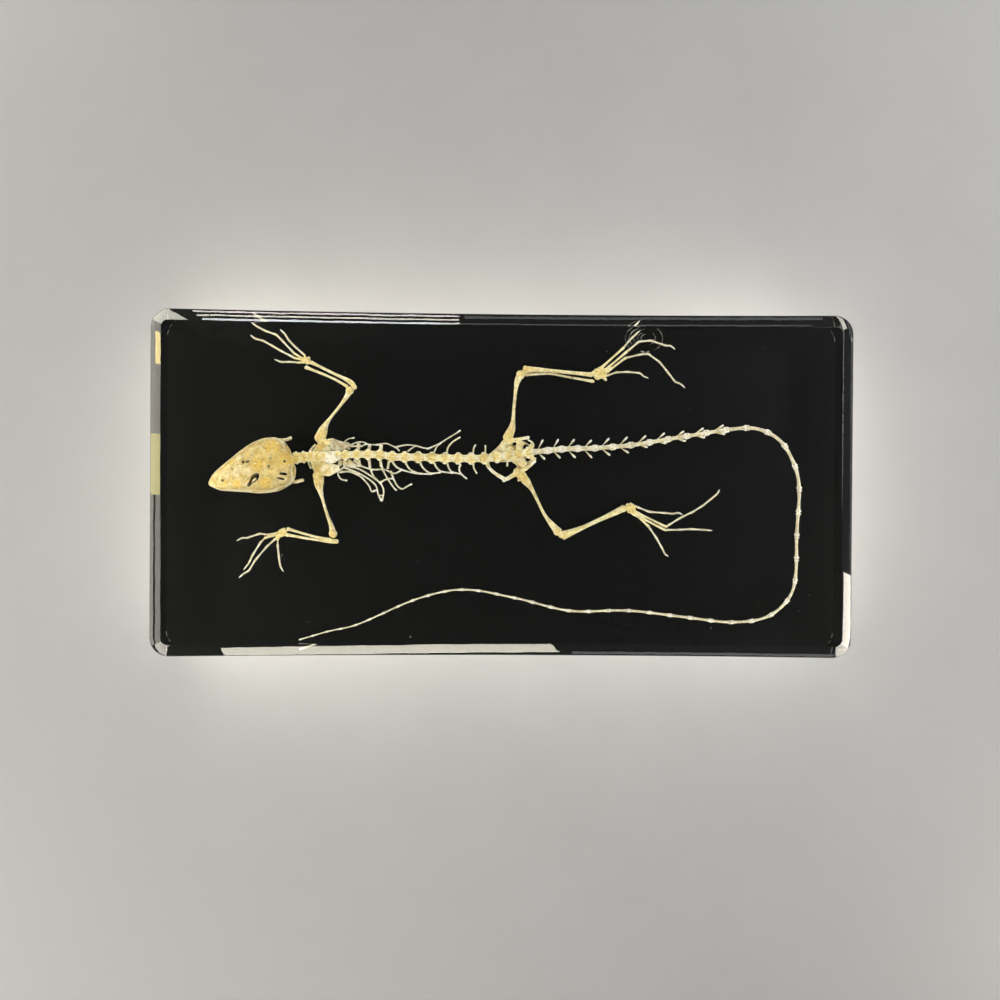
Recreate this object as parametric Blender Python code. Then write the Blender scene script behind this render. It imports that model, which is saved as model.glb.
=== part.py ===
"""Skeleton of a long-tailed garden lizard, cast in a clear block that lies on its black back.

Lengths are in millimetres and are turned into metres where a mesh is made. The origin is the middle
of the block's underside. X runs along the block from the snout's end to the bend of the tail, Y towards
the animal's right side and Z up to the clear front face, which the animal's back faces.
"""
import math

import bmesh
import bpy
from mathutils import Matrix, Vector
from mathutils.geometry import convex_hull_2d

MM = 0.001
JOINT_GAP = 0.3          # left between neighbouring pieces
CLEARANCE = 0.6          # left between a bone and the acrylic round it
ROOM_CORNER_STEP = 0.3

# The block
BLOCK_LENGTH = 200.0
BLOCK_WIDTH = 98.6
BLOCK_HEIGHT = 25.0      # with its black back
BACKING = 1.0            # thickness of the black layer
CORNER_RADIUS = 5.5
RIM_WIDTH = 3.4          # the front face's slanting rim, in plan and in height
RIM_DROP = 2.2
BACK_ROUND = 0.6
CORNER_STEPS = 4
SIDE_STEPS = 6
SIDE_DRAW = 0.7          # how far the long sides are drawn in at mid length
VENT_RADIUS = 0.5
VENT_PLACE = (-28.0, 7.9)

# The head, measured along its own axis from the tip of the snout
SNOUT_TIP = (-85.4, -0.2)
HEAD_HEADING = 16.3      # degrees from X to the head's axis, which runs back to the neck
SKULL_LENGTH = 25.2
JAW_LINE = 11.4          # height of the upper jaw's lower edge
SKULL_STATIONS = (0.0, 1.0, 2.6, 5.0, 8.0, 11.0, 14.0, 17.0, 20.0, 22.5, 24.3, 25.2)
SKULL_RIGHT = (0.5, 1.5, 2.75, 3.9, 5.15, 6.45, 7.55, 8.15, 8.1, 7.5, 6.4, 4.8)
SKULL_LEFT = (0.5, 1.5, 2.6, 3.55, 4.6, 5.65, 6.75, 7.35, 7.3, 7.0, 6.2, 4.8)
SKULL_ROOF = (1.2, 2.3, 3.5, 4.8, 6.2, 7.3, 7.7, 7.7, 7.4, 6.9, 6.0, 4.6)
# Half of a cross-section as shares of half width and height, from the palate over cheek and brow to the
# flat table of the skull
SKULL_SECTION = ((0.0, 0.0), (0.55, 0.0), (0.93, 0.02), (1.0, 0.16), (0.985, 0.36), (0.92, 0.58),
                 (0.82, 0.78), (0.68, 0.93), (0.46, 0.96), (0.24, 0.95), (0.0, 0.99))
MANDIBLE_HEIGHT = 1.3
MANDIBLE_WIDTH = 1.1
SPUR_LENGTH = 2.3

# The spine: pitch of the vertebrae, and half width across their side processes
SPINE_ROUTE = ((-60.9, 7.35, 13.6), (-57.0, 7.75, 13.45), (-50.0, 8.1, 13.2), (-42.0, 8.6, 13.0),
               (-36.0, 8.5, 12.9), (-31.9, 8.0, 12.85), (-24.7, 7.9, 12.8), (-16.7, 7.7, 12.7),
               (-9.3, 7.65, 12.6), (-3.5, 7.95, 12.45), (0.9, 8.7, 12.3), (8.2, 9.7, 11.6))
NECK_VERTEBRAE = 7
CHEST_VERTEBRAE = 8
LOIN_VERTEBRAE = 6
SACRUM_VERTEBRAE = 2
SPINE_PITCH = (2.05, 2.05, 2.0, 1.9, 1.8, 1.8, 1.8, 3.35, 3.25, 3.2, 3.5, 3.65, 3.8, 3.95, 3.95,
               3.75, 3.7, 3.8, 3.7, 3.45, 3.35, 3.0, 2.3)
CENTRUM_RADIUS = 0.95
ARCH_RISE = 0.9
ARCH_THICKNESS = 0.8
CREST_HALF_WIDTH = 0.27

# The tail
TAIL_ROUTE = ((8.25, 9.72, 11.4), (17.6, 10.7, 10.2), (26.9, 11.1, 9.7), (37.9, 12.1, 9.4),
              (54.4, 14.9, 9.0), (72.1, 17.4, 9.0), (78.6, 15.9, 9.0), (83.5, 11.7, 9.0),
              (87.4, 2.0, 9.0), (87.0, -14.3, 9.0), (86.6, -28.0, 9.0), (84.2, -33.8, 9.0),
              (78.0, -38.6, 9.0), (68.0, -40.1, 9.0), (55.0, -38.8, 9.0), (37.1, -36.8, 9.0),
              (19.8, -36.9, 9.0), (3.6, -33.2, 9.0), (-11.8, -30.8, 9.0), (-25.2, -33.6, 9.0),
              (-43.0, -41.3, 9.0), (-51.4, -43.3, 9.0), (-59.6, -45.7, 9.0))
TAIL_VERTEBRAE = 49
TAIL_LENGTHS = 8
TAIL_PITCH_STATIONS = (0, 1, 2, 3, 5, 9, 13, 17, 22, 28, 33, 37, 42, 49)
TAIL_PITCHES = (4.8, 4.2, 4.8, 5.05, 5.5, 5.8, 6.6, 6.95, 6.15, 6.15, 5.55, 5.2, 4.6, 4.1)
TAIL_KNOB_RADIUS = (1.05, 0.85, 0.65, 0.5, 0.3)    # at even steps from base to tip
BARRED_VERTEBRAE = 11
SIDE_BAR_REACH = 2.7
SIDE_BAR_LEAN = 1.6
SIDE_BAR_SWEEP = 0.1     # how much further each bar leans back than the one before, up to the seventh

# The ribs lie together as they dried: all droop alike with the distance from the spine
RIB_RADIUS = 0.28
RIB_STEP = 2.8
RIB_LEVEL = 12.3
RIB_DROOP = 0.3
RIB_STAGGER = 0.05
# Plan points of the ribs, from root to tip, as they lie in the photograph
LEFT_RIBS = (
    ((-46.6, 4.9), (-48.3, 3.3), (-47.5, 1.5), (-45.6, 1.0)),
    ((-47.9, 3.4), (-45.0, 3.6), (-41.8, 2.2), (-39.4, -0.4), (-38.6, -2.1), (-37.3, -1.7)),
    ((-46.8, 5.0), (-41.2, 2.6), (-37.5, -0.2), (-36.7, -3.0), (-35.8, -5.0)),
    ((-45.6, 5.4), (-42.2, 4.4), (-39.7, 3.0), (-36.0, 0.2), (-35.1, -2.0), (-35.7, -5.0)),
    ((-46.8, 5.6), (-42.0, 5.3), (-38.4, 4.3), (-34.8, 4.3), (-32.0, 3.2), (-29.4, 4.4)),
    ((-38.8, 4.5), (-38.1, 2.5), (-35.8, 0.1)),
    ((-35.6, 5.3), (-35.1, 3.9), (-33.8, 1.5), (-31.9, -1.3), (-31.2, -1.8)),
    ((-33.0, 4.0), (-32.1, 1.5), (-31.0, -0.5), (-29.7, -1.3), (-28.1, -0.5), (-26.7, 0.2)),
    ((-36.1, 0.5), (-34.2, 1.5), (-32.2, 1.7)),
    ((-32.4, 6.5), (-31.0, 4.9), (-28.5, 3.9), (-25.0, 3.2), (-20.8, 3.1)),
    ((-28.7, 6.4), (-27.4, 4.5), (-25.5, 3.5), (-23.5, 3.1)),
    ((-24.4, 6.4), (-23.3, 4.6), (-21.3, 3.35), (-18.2, 3.6)),
    ((-20.3, 6.3), (-19.6, 5.0), (-18.3, 3.9), (-14.7, 3.4)),
    ((-16.4, 6.2), (-16.1, 5.0), (-15.2, 3.8), (-12.2, 3.1)),
    ((-12.6, 6.1), (-13.0, 4.4), (-12.4, 3.2), (-10.7, 1.7)),
)
RIGHT_RIBS = (
    ((-44.7, 11.3), (-46.4, 12.1), (-45.4, 13.1), (-43.5, 13.5)),
    ((-45.4, 10.4), (-44.2, 11.5), (-42.6, 12.2), (-40.9, 12.2), (-39.4, 11.6), (-36.5, 11.5)),
    ((-41.6, 10.8), (-40.7, 11.4), (-39.6, 11.7)),
    ((-37.3, 11.4), (-34.4, 11.9), (-33.0, 11.4), (-31.3, 10.6), (-30.4, 9.7)),
    ((-31.9, 10.7), (-28.6, 11.5), (-25.8, 11.3), (-23.6, 10.7), (-21.9, 10.4)),
    ((-28.0, 9.6), (-26.9, 10.5), (-25.5, 11.2), (-23.9, 10.8)),
    ((-22.4, 10.3), (-19.0, 11.9), (-16.3, 13.6), (-14.4, 14.8), (-12.7, 16.0)),
    ((-20.3, 9.5), (-19.5, 11.1), (-18.3, 12.2)),
)
LOIN_RIBS = (
    ((-16.6, 8.4), (-16.4, 10.6), (-15.1, 12.4), (-12.7, 14.0)),
    ((-9.0, 8.4), (-8.8, 10.7), (-8.2, 11.8)),
    ((-5.4, 8.4), (-5.4, 11.7)),
    ((-9.0, 7.2), (-8.7, 4.9), (-7.8, 3.2)),
    ((1.2, 8.0), (1.1, 6.4), (1.0, 5.4)),
)

# Long bones of the limbs: points along each, widths at even steps, heights at even steps
HUMERUS = ((3.2, 2.9, 1.7, 1.1, 0.95, 1.0, 1.4, 2.4, 2.7), (1.6, 1.6, 1.3, 1.05, 0.95, 1.0, 1.1, 1.4, 1.4))
ULNA = ((1.3, 1.4, 0.95, 0.8, 0.8, 0.8, 1.1), (1.2, 1.1, 0.85, 0.75, 0.75, 0.8, 1.0))
RADIUS = ((0.95, 0.8, 0.7, 0.7, 0.7, 0.8, 1.1), (0.95, 0.8, 0.7, 0.7, 0.7, 0.8, 0.9))
FEMUR = ((2.8, 2.5, 1.5, 1.15, 1.05, 1.1, 1.3, 1.9, 2.2), (1.7, 1.7, 1.4, 1.15, 1.05, 1.1, 1.3, 1.6, 1.6))
TIBIA = ((2.3, 1.6, 1.15, 1.05, 1.0, 1.1, 1.4), (1.9, 1.5, 1.1, 1.0, 1.0, 1.0, 1.2))
FIBULA = ((0.9, 0.75, 0.65, 0.6, 0.65, 0.75, 1.0), (0.9, 0.75, 0.65, 0.6, 0.65, 0.75, 0.95))
THIN_BONE_WIDTH = 1.5    # no limb bone up to this width has more than six sides
LIMB_BONES = (
    ("humerus_right", ((-53.3, 14.2, 10.4), (-52.6, 16.2, 10.0), (-51.4, 18.4, 9.9), (-48.1, 22.7, 9.7),
                       (-45.9, 25.9, 9.6), (-44.93, 27.9, 9.6)), HUMERUS),
    ("ulna_right", ((-43.85, 28.4, 9.7), (-44.9, 29.8, 9.7), (-50.1, 32.4, 9.6), (-56.1, 35.35, 9.3)), ULNA),
    ("radius_right", ((-46.35, 28.8, 9.5), (-50.3, 30.95, 9.6), (-57.65, 33.9, 9.3)), RADIUS),
    ("humerus_left", ((-54.0, 1.55, 10.3), (-53.9, -0.4, 10.1), (-53.4, -2.6, 9.9), (-51.6, -8.9, 9.7),
                      (-50.3, -12.4, 9.6), (-49.7, -15.15, 9.6)), HUMERUS),
    ("ulna_left", ((-48.2, -16.8, 9.0), (-55.6, -16.2, 9.2), (-63.0, -15.0, 9.2)), ULNA),
    ("radius_left", ((-51.4, -16.0, 10.4), (-55.9, -15.1, 10.0), (-62.65, -13.2, 9.4)), RADIUS),
    ("femur_right", ((1.5, 14.75, 10.3), (2.5, 17.4, 10.0), (3.0, 23.8, 9.8), (3.8, 30.2, 9.6),
                     (5.05, 33.05, 9.6)), FEMUR),
    ("tibia_right", ((6.2, 34.0, 9.6), (9.8, 34.0, 9.6), (15.2, 33.6, 9.6), (25.5, 32.75, 9.3)), TIBIA),
    ("fibula_right", ((6.75, 32.65, 8.1), (13.3, 32.95, 8.3), (18.4, 32.1, 8.6), (25.9, 30.85, 8.9)), FIBULA),
    ("femur_left", ((5.6, 2.4, 10.3), (8.3, -1.1, 10.0), (12.2, -8.7, 9.8), (16.4, -13.95, 9.6)), FEMUR),
    ("tibia_left", ((17.9, -14.4, 9.6), (24.3, -11.9, 9.6), (35.2, -6.4, 9.3)), TIBIA),
    ("fibula_left", ((18.3, -15.5, 8.1), (26.3, -11.9, 8.3), (35.6, -7.8, 8.8)), FIBULA),
)

# Each digit: root in plan, lengths of its bones from the root to the claw, and their headings in degrees
FINGERS_RIGHT = (
    ((-58.9, 38.0), (3.4, 2.5, 2.1, 2.0), (138, 135, 121, 137)),
    ((-61.9, 38.6), (4.6, 2.3, 3.5, 2.8, 1.9), (134, 135, 161, 152, 144)),
    ((-61.8, 37.0), (4.4, 2.1, 3.3, 2.6, 1.7), (153, 149, 151, 166, 140)),
    ((-61.0, 35.5), (2.0, 2.3, 2.2), (175, 183, 158)),
)
FINGERS_LEFT = (
    ((-69.4, -14.9), (1.8, 4.0, 1.5, 1.8), (172, 199, 180, 209)),
    ((-69.9, -16.3), (1.1, 4.7, 2.5, 2.6), (223, 238, 246, 232)),
    ((-67.4, -16.8), (2.2, 5.6, 3.4, 1.8, 2.0), (222, 230, 240, 209, 223)),
    ((-66.0, -16.9), (1.0, 4.4, 1.8, 2.1), (268, 276, 279, 299)),
)
TOES_RIGHT = (
    ((35.5, 41.2), (2.0, 2.1, 2.6), (52, 45, 43)),
    ((36.5, 39.9), (4.2, 3.6, 4.8, 1.2, 1.9), (40, 6, -18, 5, -39)),
    ((36.4, 37.9), (3.8, 2.5, 4.2, 4.0, 3.4, 1.5, 2.1), (14, 5, -35, -51, -52, -16, -41)),
    ((31.4, 32.9), (1.7, 3.4, 3.9, 1.3, 1.7), (20, 3, -5, -45, -20)),
)
TOES_LEFT = (
    ((39.5, -6.2), (3.8, 5.2, 1.7, 1.8, 1.4), (-21, -4, -7, 12, -25)),
    ((48.7, -11.6), (4.6, 3.8, 3.6, 3.8, 1.7, 1.5), (32, 25, 32, 39, 40, 62)),
    ((48.5, -12.9), (4.0, 3.0, 4.4, 2.2), (1, 4, -3, -5)),
    ((43.3, -12.4), (3.4, 3.9, 1.7, 1.3), (-55, -60, -65, -32)),
)
# Wrists and ankles: middle, radii and turn of the small bones' mass, and where each palm bone starts
CARPUS_RIGHT = ((-57.9, 36.0, 9.2), (1.5, 1.0, 0.8), 150.0,
                ((-58.2, 36.5), (-58.6, 36.3), (-58.5, 36.1), (-58.3, 35.6)))
CARPUS_LEFT = ((-64.6, -14.3, 9.2), (1.5, 1.1, 0.8), 20.0,
               ((-65.0, -14.2), (-65.2, -14.7), (-65.2, -14.9), (-65.0, -15.0)))
TARSUS_RIGHT = ((28.1, 33.2, 9.2), (2.4, 1.7, 1.0), 20.0,
                ((28.0, 34.2), (29.0, 33.5), (30.0, 33.4), (29.4, 32.2)))
TARSUS_LEFT = ((37.4, -6.6, 9.2), (1.8, 1.4, 1.0), -30.0,
               ((37.6, -5.6), (38.4, -7.4), (38.0, -8.0), (38.6, -7.9)))
DIGIT_LEVEL = 9.0
KNUCKLE_RADIUS = 0.4
PHALANX_RADIUS = 0.27
CLAW_RADIUS = 0.18
DIGIT_FALL = 0.12
PALM_RADII = (0.55, 0.4, 0.42, 0.42)
PALM_NECK = 0.5

# Shoulders: joint with the upper arm, blade rising beside the ribs, and plate down to the breastbone, with
# the widths of both
SHOULDER_RIGHT = ((-53.0, 12.3, 10.1),
                  ((-52.6, 12.3, 10.6), (-50.2, 12.0, 12.4), (-48.3, 11.5, 13.4), (-45.6, 10.9, 13.8)),
                  ((-52.9, 11.9, 9.9), (-53.6, 9.6, 9.75)), (2.0, 1.9, 2.7, 1.3), (3.0, 5.4))
SHOULDER_LEFT = ((-53.8, 3.2, 10.1),
                 ((-53.5, 3.5, 10.6), (-52.2, 4.2, 12.2), (-51.3, 4.5, 12.8), (-50.2, 4.8, 13.3)),
                 ((-53.9, 3.6, 9.9), (-53.4, 6.7, 9.75)), (2.2, 2.5, 2.8, 2.9), (3.4, 6.0))
# The breastbone's plate, the front end of its bar, and the middle and end of each collar rod
BREAST_PLATE = ((-54.6, 8.1, 8.9), (-51.0, 8.1, 8.7), (-47.4, 8.0, 8.7))
BREAST_FRONT = (-57.2, 8.0, 9.4)
COLLAR_RODS = (((-57.2, 10.2, 9.8), (-55.6, 12.2, 10.4)), ((-57.4, 5.8, 9.8), (-56.3, 3.9, 10.4)))
# Halves of the pelvis: hip joint, rod back to the sacrum, bar forward to the middle, plate behind it, and
# the widths of bar and plate
PELVIS_RIGHT = ((1.4, 12.9, 10.3), ((1.9, 12.95, 10.8), (4.4, 13.4, 12.0), (7.5, 14.0, 12.9)),
                ((1.1, 12.2, 10.0), (-0.5, 10.5, 9.6), (-2.4, 9.2, 9.2), (-4.5, 8.45, 8.9)),
                ((2.3, 12.0, 9.9), (3.6, 10.6, 9.2), (4.6, 9.0, 8.9)),
                (2.6, 2.6, 2.6, 2.5, 2.3, 2.0, 1.5, 1.0), (2.6, 3.2, 3.6))
PELVIS_LEFT = ((4.3, 3.9, 10.3), ((4.8, 4.1, 10.9), (7.2, 5.4, 12.0), (9.3, 7.2, 12.9)),
               ((3.7, 3.5, 10.0), (1.0, 1.85, 9.7), (0.2, 1.85, 9.6), (-3.3, 4.1, 9.2), (-4.6, 5.7, 9.0),
                (-4.8, 7.3, 8.9)),
               ((4.7, 4.6, 9.9), (5.1, 6.0, 9.2), (5.2, 7.4, 8.9)),
               (1.6, 1.3, 1.3, 1.2, 1.0, 1.0, 1.1, 1.3), (2.0, 2.6, 3.4))


def smooth(stations, values, place):
    """value at a place among stations, on a curve that passes through all of them"""
    last = len(stations) - 1
    span = 0
    while span < last - 1 and place > stations[span + 1]:
        span += 1
    width = stations[span + 1] - stations[span]
    share = min(max((place - stations[span]) / width, 0.0), 1.0)

    def slope(index):
        before = max(index - 1, 0)
        after = min(index + 1, last)
        return (values[after] - values[before]) / (stations[after] - stations[before])

    square = share * share
    cube = square * share
    return ((2 * cube - 3 * square + 1) * values[span] + (cube - 2 * square + share) * width * slope(span)
            + (3 * square - 2 * cube) * values[span + 1] + (cube - square) * width * slope(span + 1))


class Route:
    """a smooth curve through a few points, read by the length along it"""

    def __init__(self, points):
        self.points = [Vector(point) for point in points]
        self.lengths = [0.0]
        for before, after in zip(self.points, self.points[1:]):
            self.lengths.append(self.lengths[-1] + (after - before).length)
        self.length = self.lengths[-1]

    def at(self, along):
        return Vector([smooth(self.lengths, [point[axis] for point in self.points], along)
                       for axis in range(3)])

    def heading(self, along):
        step = 0.05
        return (self.at(min(along + step, self.length)) - self.at(max(along - step, 0.0))).normalized()

    def even(self, count):
        return [self.at(self.length * index / (count - 1)) for index in range(count)]


def material(name, colour, roughness, transmission=0.0):
    made = bpy.data.materials.new(name)
    made.use_nodes = True
    shader = made.node_tree.nodes["Principled BSDF"]
    shader.inputs["Base Color"].default_value = (*colour, 1.0)
    shader.inputs["Roughness"].default_value = roughness
    shader.inputs["Metallic"].default_value = 0.0
    shader.inputs["Transmission Weight"].default_value = transmission
    shader.inputs["IOR"].default_value = 1.49 if transmission else 1.5
    return made


def object_from(mesh_builder, name):
    """links a new object for a bmesh whose points are in millimetres"""
    bmesh.ops.scale(mesh_builder, vec=(MM, MM, MM), verts=mesh_builder.verts)
    bmesh.ops.recalc_face_normals(mesh_builder, faces=mesh_builder.faces)
    mesh = bpy.data.meshes.new(name)
    mesh_builder.to_mesh(mesh)
    mesh_builder.free()
    made = bpy.data.objects.new(name, mesh)
    bpy.context.scene.collection.objects.link(made)
    return made


def loft(name, rings):
    """a closed skin over rings that have the same number of points"""
    builder = bmesh.new()
    loops = [[builder.verts.new(point) for point in ring] for ring in rings]
    count = len(rings[0])
    for before, after in zip(loops, loops[1:]):
        for index in range(count):
            following = (index + 1) % count
            builder.faces.new((before[index], before[following], after[following], after[index]))
    builder.faces.new(reversed(loops[0]))
    builder.faces.new(loops[-1])
    bmesh.ops.triangulate(builder, faces=builder.faces)
    return object_from(builder, name)


def strap(name, points, widths, heights, sides=8):
    """a flattened bar: an ellipse of the given width across and height is drawn along the points"""
    places = [Vector(point) for point in points]
    rings = []
    for index, place in enumerate(places):
        ahead = places[min(index + 1, len(places) - 1)]
        behind = places[max(index - 1, 0)]
        along = (ahead - behind).normalized()
        across = Vector((-along.y, along.x, 0.0)).normalized()
        upward = along.cross(across)
        ring = []
        for step in range(sides):
            turn = 2 * math.pi * (step + 0.5) / sides
            ring.append(place + across * (math.cos(turn) * widths[index] / 2)
                        + upward * (math.sin(turn) * heights[index] / 2))
        rings.append(ring)
    return loft(name, rings)


def tube(name, points, radii, sides=6):
    """a round bar along the points as a bevelled curve, turned into a closed mesh"""
    curve = bpy.data.curves.new(name, "CURVE")
    curve.dimensions = "3D"
    curve.bevel_depth = MM
    curve.bevel_resolution = (sides - 4) // 2
    curve.use_fill_caps = True
    spline = curve.splines.new("POLY")
    spline.points.add(len(points) - 1)
    for point, place, radius in zip(spline.points, points, radii):
        point.co = (place[0] * MM, place[1] * MM, place[2] * MM, 1.0)
        point.radius = radius
    holder = bpy.data.objects.new(name, curve)
    bpy.context.scene.collection.objects.link(holder)
    depsgraph = bpy.context.evaluated_depsgraph_get()
    mesh = bpy.data.meshes.new_from_object(holder.evaluated_get(depsgraph))
    builder = bmesh.new()
    builder.from_mesh(mesh)
    bmesh.ops.remove_doubles(builder, verts=builder.verts, dist=0.001 * MM)
    bmesh.ops.recalc_face_normals(builder, faces=builder.faces)
    builder.to_mesh(mesh)
    builder.free()
    made = bpy.data.objects.new(name, mesh)
    made.matrix_world = holder.matrix_world
    bpy.context.scene.collection.objects.link(made)
    bpy.data.objects.remove(holder)
    return made


def lump(name, centre, radii, turn=0.0, segments=8, rings=6):
    """an ellipsoid, turned about Z by some degrees"""
    builder = bmesh.new()
    bmesh.ops.create_uvsphere(builder, u_segments=segments, v_segments=rings, radius=1.0)
    bmesh.ops.scale(builder, vec=radii, verts=builder.verts)
    bmesh.ops.rotate(builder, matrix=Matrix.Rotation(math.radians(turn), 3, "Z"), verts=builder.verts)
    bmesh.ops.translate(builder, vec=centre, verts=builder.verts)
    return object_from(builder, name)


def keep_largest_surface(mesh):
    """drops every closed surface of a mesh but the one that holds most"""
    builder = bmesh.new()
    builder.from_mesh(mesh)
    bmesh.ops.triangulate(builder, faces=builder.faces)
    unseen = set(builder.faces)
    shells = []
    while unseen:
        front = [unseen.pop()]
        shell = list(front)
        while front:
            for edge in front.pop().edges:
                for face in edge.link_faces:
                    if face in unseen:
                        unseen.discard(face)
                        front.append(face)
                        shell.append(face)
        shells.append(shell)

    def volume(shell):
        return sum(face.verts[0].co.dot(face.verts[1].co.cross(face.verts[2].co)) for face in shell) / 6

    shells.sort(key=volume)
    for shell in shells[:-1]:
        bmesh.ops.delete(builder, geom=shell, context="FACES")
    loose = [vertex for vertex in builder.verts if not vertex.link_faces]
    bmesh.ops.delete(builder, geom=loose, context="VERTS")
    builder.to_mesh(mesh)
    builder.free()


def combine(first, others, operation):
    """applies one Boolean of a collection of pieces to the first piece"""
    pieces = bpy.data.collections.new("pieces")
    for other in others:
        pieces.objects.link(other)
    join = first.modifiers.new("join", "BOOLEAN")
    join.operation = operation
    join.operand_type = "COLLECTION"
    join.collection = pieces
    join.solver = "MANIFOLD"
    depsgraph = bpy.context.evaluated_depsgraph_get()
    mesh = bpy.data.meshes.new_from_object(first.evaluated_get(depsgraph))
    first.modifiers.clear()
    first.data = mesh
    for other in others:
        bpy.data.objects.remove(other)
    bpy.data.collections.remove(pieces)
    return first


def finished(name, pieces, finish):
    """joins the pieces of one bone or group of bones and gives it its name and material"""
    body = pieces[0]
    if len(pieces) > 1:
        body = combine(body, pieces[1:], "UNION")
        keep_largest_surface(body.data)
    body.name = name
    body.data.name = name
    body.data.materials.clear()
    body.data.materials.append(finish)
    body.data.shade_smooth()
    body.data.set_sharp_from_angle(angle=math.radians(50))
    for collection in list(body.users_collection):
        collection.objects.unlink(body)
    PARTS.objects.link(body)
    return body


rooms = []


def room_round(bones):
    """the space that some neighbouring bones take up in the acrylic: a flat prism that holds them all"""
    margin = CLEARANCE + 0.013 * len(rooms)
    points = [vertex.co / MM for bone in bones for vertex in bone.data.vertices]
    corners = [(point.x + side * margin, point.y + edge * margin)
               for point in points for side in (-1, 1) for edge in (-1, 1)]
    outline = [corners[index] for index in convex_hull_2d(corners)]
    kept = [outline[0]]
    for corner in outline[1:]:
        if math.dist(corner, kept[-1]) > ROOM_CORNER_STEP and math.dist(corner, kept[0]) > ROOM_CORNER_STEP:
            kept.append(corner)
    low = min(point.z for point in points) - margin
    high = max(point.z for point in points) + margin
    rooms.append(loft("room", [[(x, y, height) for x, y in kept] for height in (low, high)]))


def tail_room(line, widths, heights):
    """the bent duct that holds the tail, square in section"""
    places = [Vector(point) for point in line]
    places[-1] += (places[-1] - places[-2]).normalized() * CLEARANCE
    widen = math.sqrt(2)
    rooms.append(strap("room", places, [(width + 2 * CLEARANCE) * widen for width in widths],
                       [(height + 2 * CLEARANCE) * widen for height in heights], 4))


def head_point(along, right, height):
    """a place on the head: along its axis from the snout, to the animal's right, and up"""
    turn = math.radians(HEAD_HEADING)
    return Vector((SNOUT_TIP[0] + along * math.cos(turn) - right * math.sin(turn),
                   SNOUT_TIP[1] + along * math.sin(turn) + right * math.cos(turn), height))


def skull_ring(along):
    """one cross-section of the skull, closed round from the palate over the right cheek"""
    right = smooth(SKULL_STATIONS, SKULL_RIGHT, along)
    left = smooth(SKULL_STATIONS, SKULL_LEFT, along)
    roof = smooth(SKULL_STATIONS, SKULL_ROOF, along)
    half = [(across * right, up) for across, up in SKULL_SECTION]
    half += [(-across * left, up) for across, up in SKULL_SECTION[-2:0:-1]]
    return [head_point(along, side, JAW_LINE + up * roof) for side, up in half]


def skull_cutter(name, along, right, height, radii):
    cutter = lump(name, head_point(along, right, height), radii, HEAD_HEADING, 12, 8)
    for collection in list(cutter.users_collection):
        collection.objects.unlink(cutter)
    CUTTERS.objects.link(cutter)
    cutter.hide_render = True
    cutter.display_type = "WIRE"
    return cutter


def make_skull(skull, finish):
    skull_cutter("left_orbit", 12.8, -7.4, 15.6, (3.2, 3.1, 2.5))
    skull_cutter("right_orbit", 12.8, 8.1, 15.6, (3.2, 3.1, 2.5))
    skull_cutter("left_orbit_roof_opening", 13.4, -3.0, 18.9, (1.9, 1.2, 3.6))
    skull_cutter("left_temporal_opening", 21.4, -4.2, 18.4, (1.6, 0.75, 1.9))
    skull_cutter("right_temporal_opening", 20.8, 5.1, 19.0, (2.7, 1.5, 1.3))
    skull_cutter("left_nostril", 3.8, -1.9, 14.9, (0.7, 0.6, 0.7))
    skull_cutter("right_nostril", 3.8, 2.1, 14.9, (0.7, 0.6, 0.7))
    skull_cutter("foramen_magnum", 25.6, 0.0, 13.9, (1.2, 0.9, 0.9))
    openings = skull.modifiers.new("openings", "BOOLEAN")
    openings.operation = "DIFFERENCE"
    openings.operand_type = "COLLECTION"
    openings.collection = CUTTERS
    openings.solver = "EXACT"
    finished("skull", [skull], finish)


def make_mandible(finish):
    """two rami that meet under the snout and end in a spur behind each jaw joint"""
    middle = JAW_LINE - JOINT_GAP - MANDIBLE_HEIGHT / 2
    pieces = []
    for side, outline in ((1, SKULL_RIGHT), (-1, SKULL_LEFT)):
        points = [head_point(0.7, -side * 0.3, middle), head_point(0.9, side * 0.7, middle)]
        for along in (2.6, 5.0, 9.0, 14.0, 19.0, 23.0):
            outward = smooth(SKULL_STATIONS, outline, along) - MANDIBLE_WIDTH * 0.45
            points.append(head_point(along, side * outward, middle))
        spur = SKULL_LENGTH - 0.6
        points.append(head_point(spur, side * 6.3, middle + 0.2))
        points.append(head_point(spur + SPUR_LENGTH, side * 6.4, middle + 0.5))
        widths = [1.0, 1.2] + [MANDIBLE_WIDTH] * 5 + [1.5, 1.1, 0.7]
        heights = [1.0, 1.1] + [MANDIBLE_HEIGHT] * 6 + [1.1, 0.8]
        pieces.append(strap("ramus", points, widths, heights, 6))
    return finished("mandible", pieces, finish)


def vertebra_places(route, pitches):
    """where each vertebra starts along its route, and where the last one ends"""
    places = [0.0]
    for pitch in pitches:
        places.append(places[-1] + pitch)
    scale = route.length / places[-1]
    return [place * scale for place in places]


def half_width(index):
    """reach of a vertebra's side processes, which grows a little towards the hips"""
    return smooth((0, 6, 11, 16, 22), (1.45, 1.45, 1.6, 1.7, 1.75), index)


def vertebra_section(centrum, wing, crest):
    """half a cross-section through a vertebra: across and up, from its underside to its back crest"""
    return ((0.5 * centrum, -0.87 * centrum), (centrum, -0.05), (wing, ARCH_RISE - 0.4 * ARCH_THICKNESS),
            (0.9 * wing, ARCH_RISE + 0.4 * ARCH_THICKNESS), (CREST_HALF_WIDTH, ARCH_RISE + crest))


def spine_ring(route, along, half):
    """a whole cross-section at some place along the spine"""
    middle = route.at(along)
    heading = route.heading(along)
    across = Vector((-heading.y, heading.x, 0.0)).normalized()
    upward = heading.cross(across)
    outline = list(half) + [(-side, up) for side, up in reversed(half)]
    return [middle + across * side + upward * up for side, up in outline]


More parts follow.
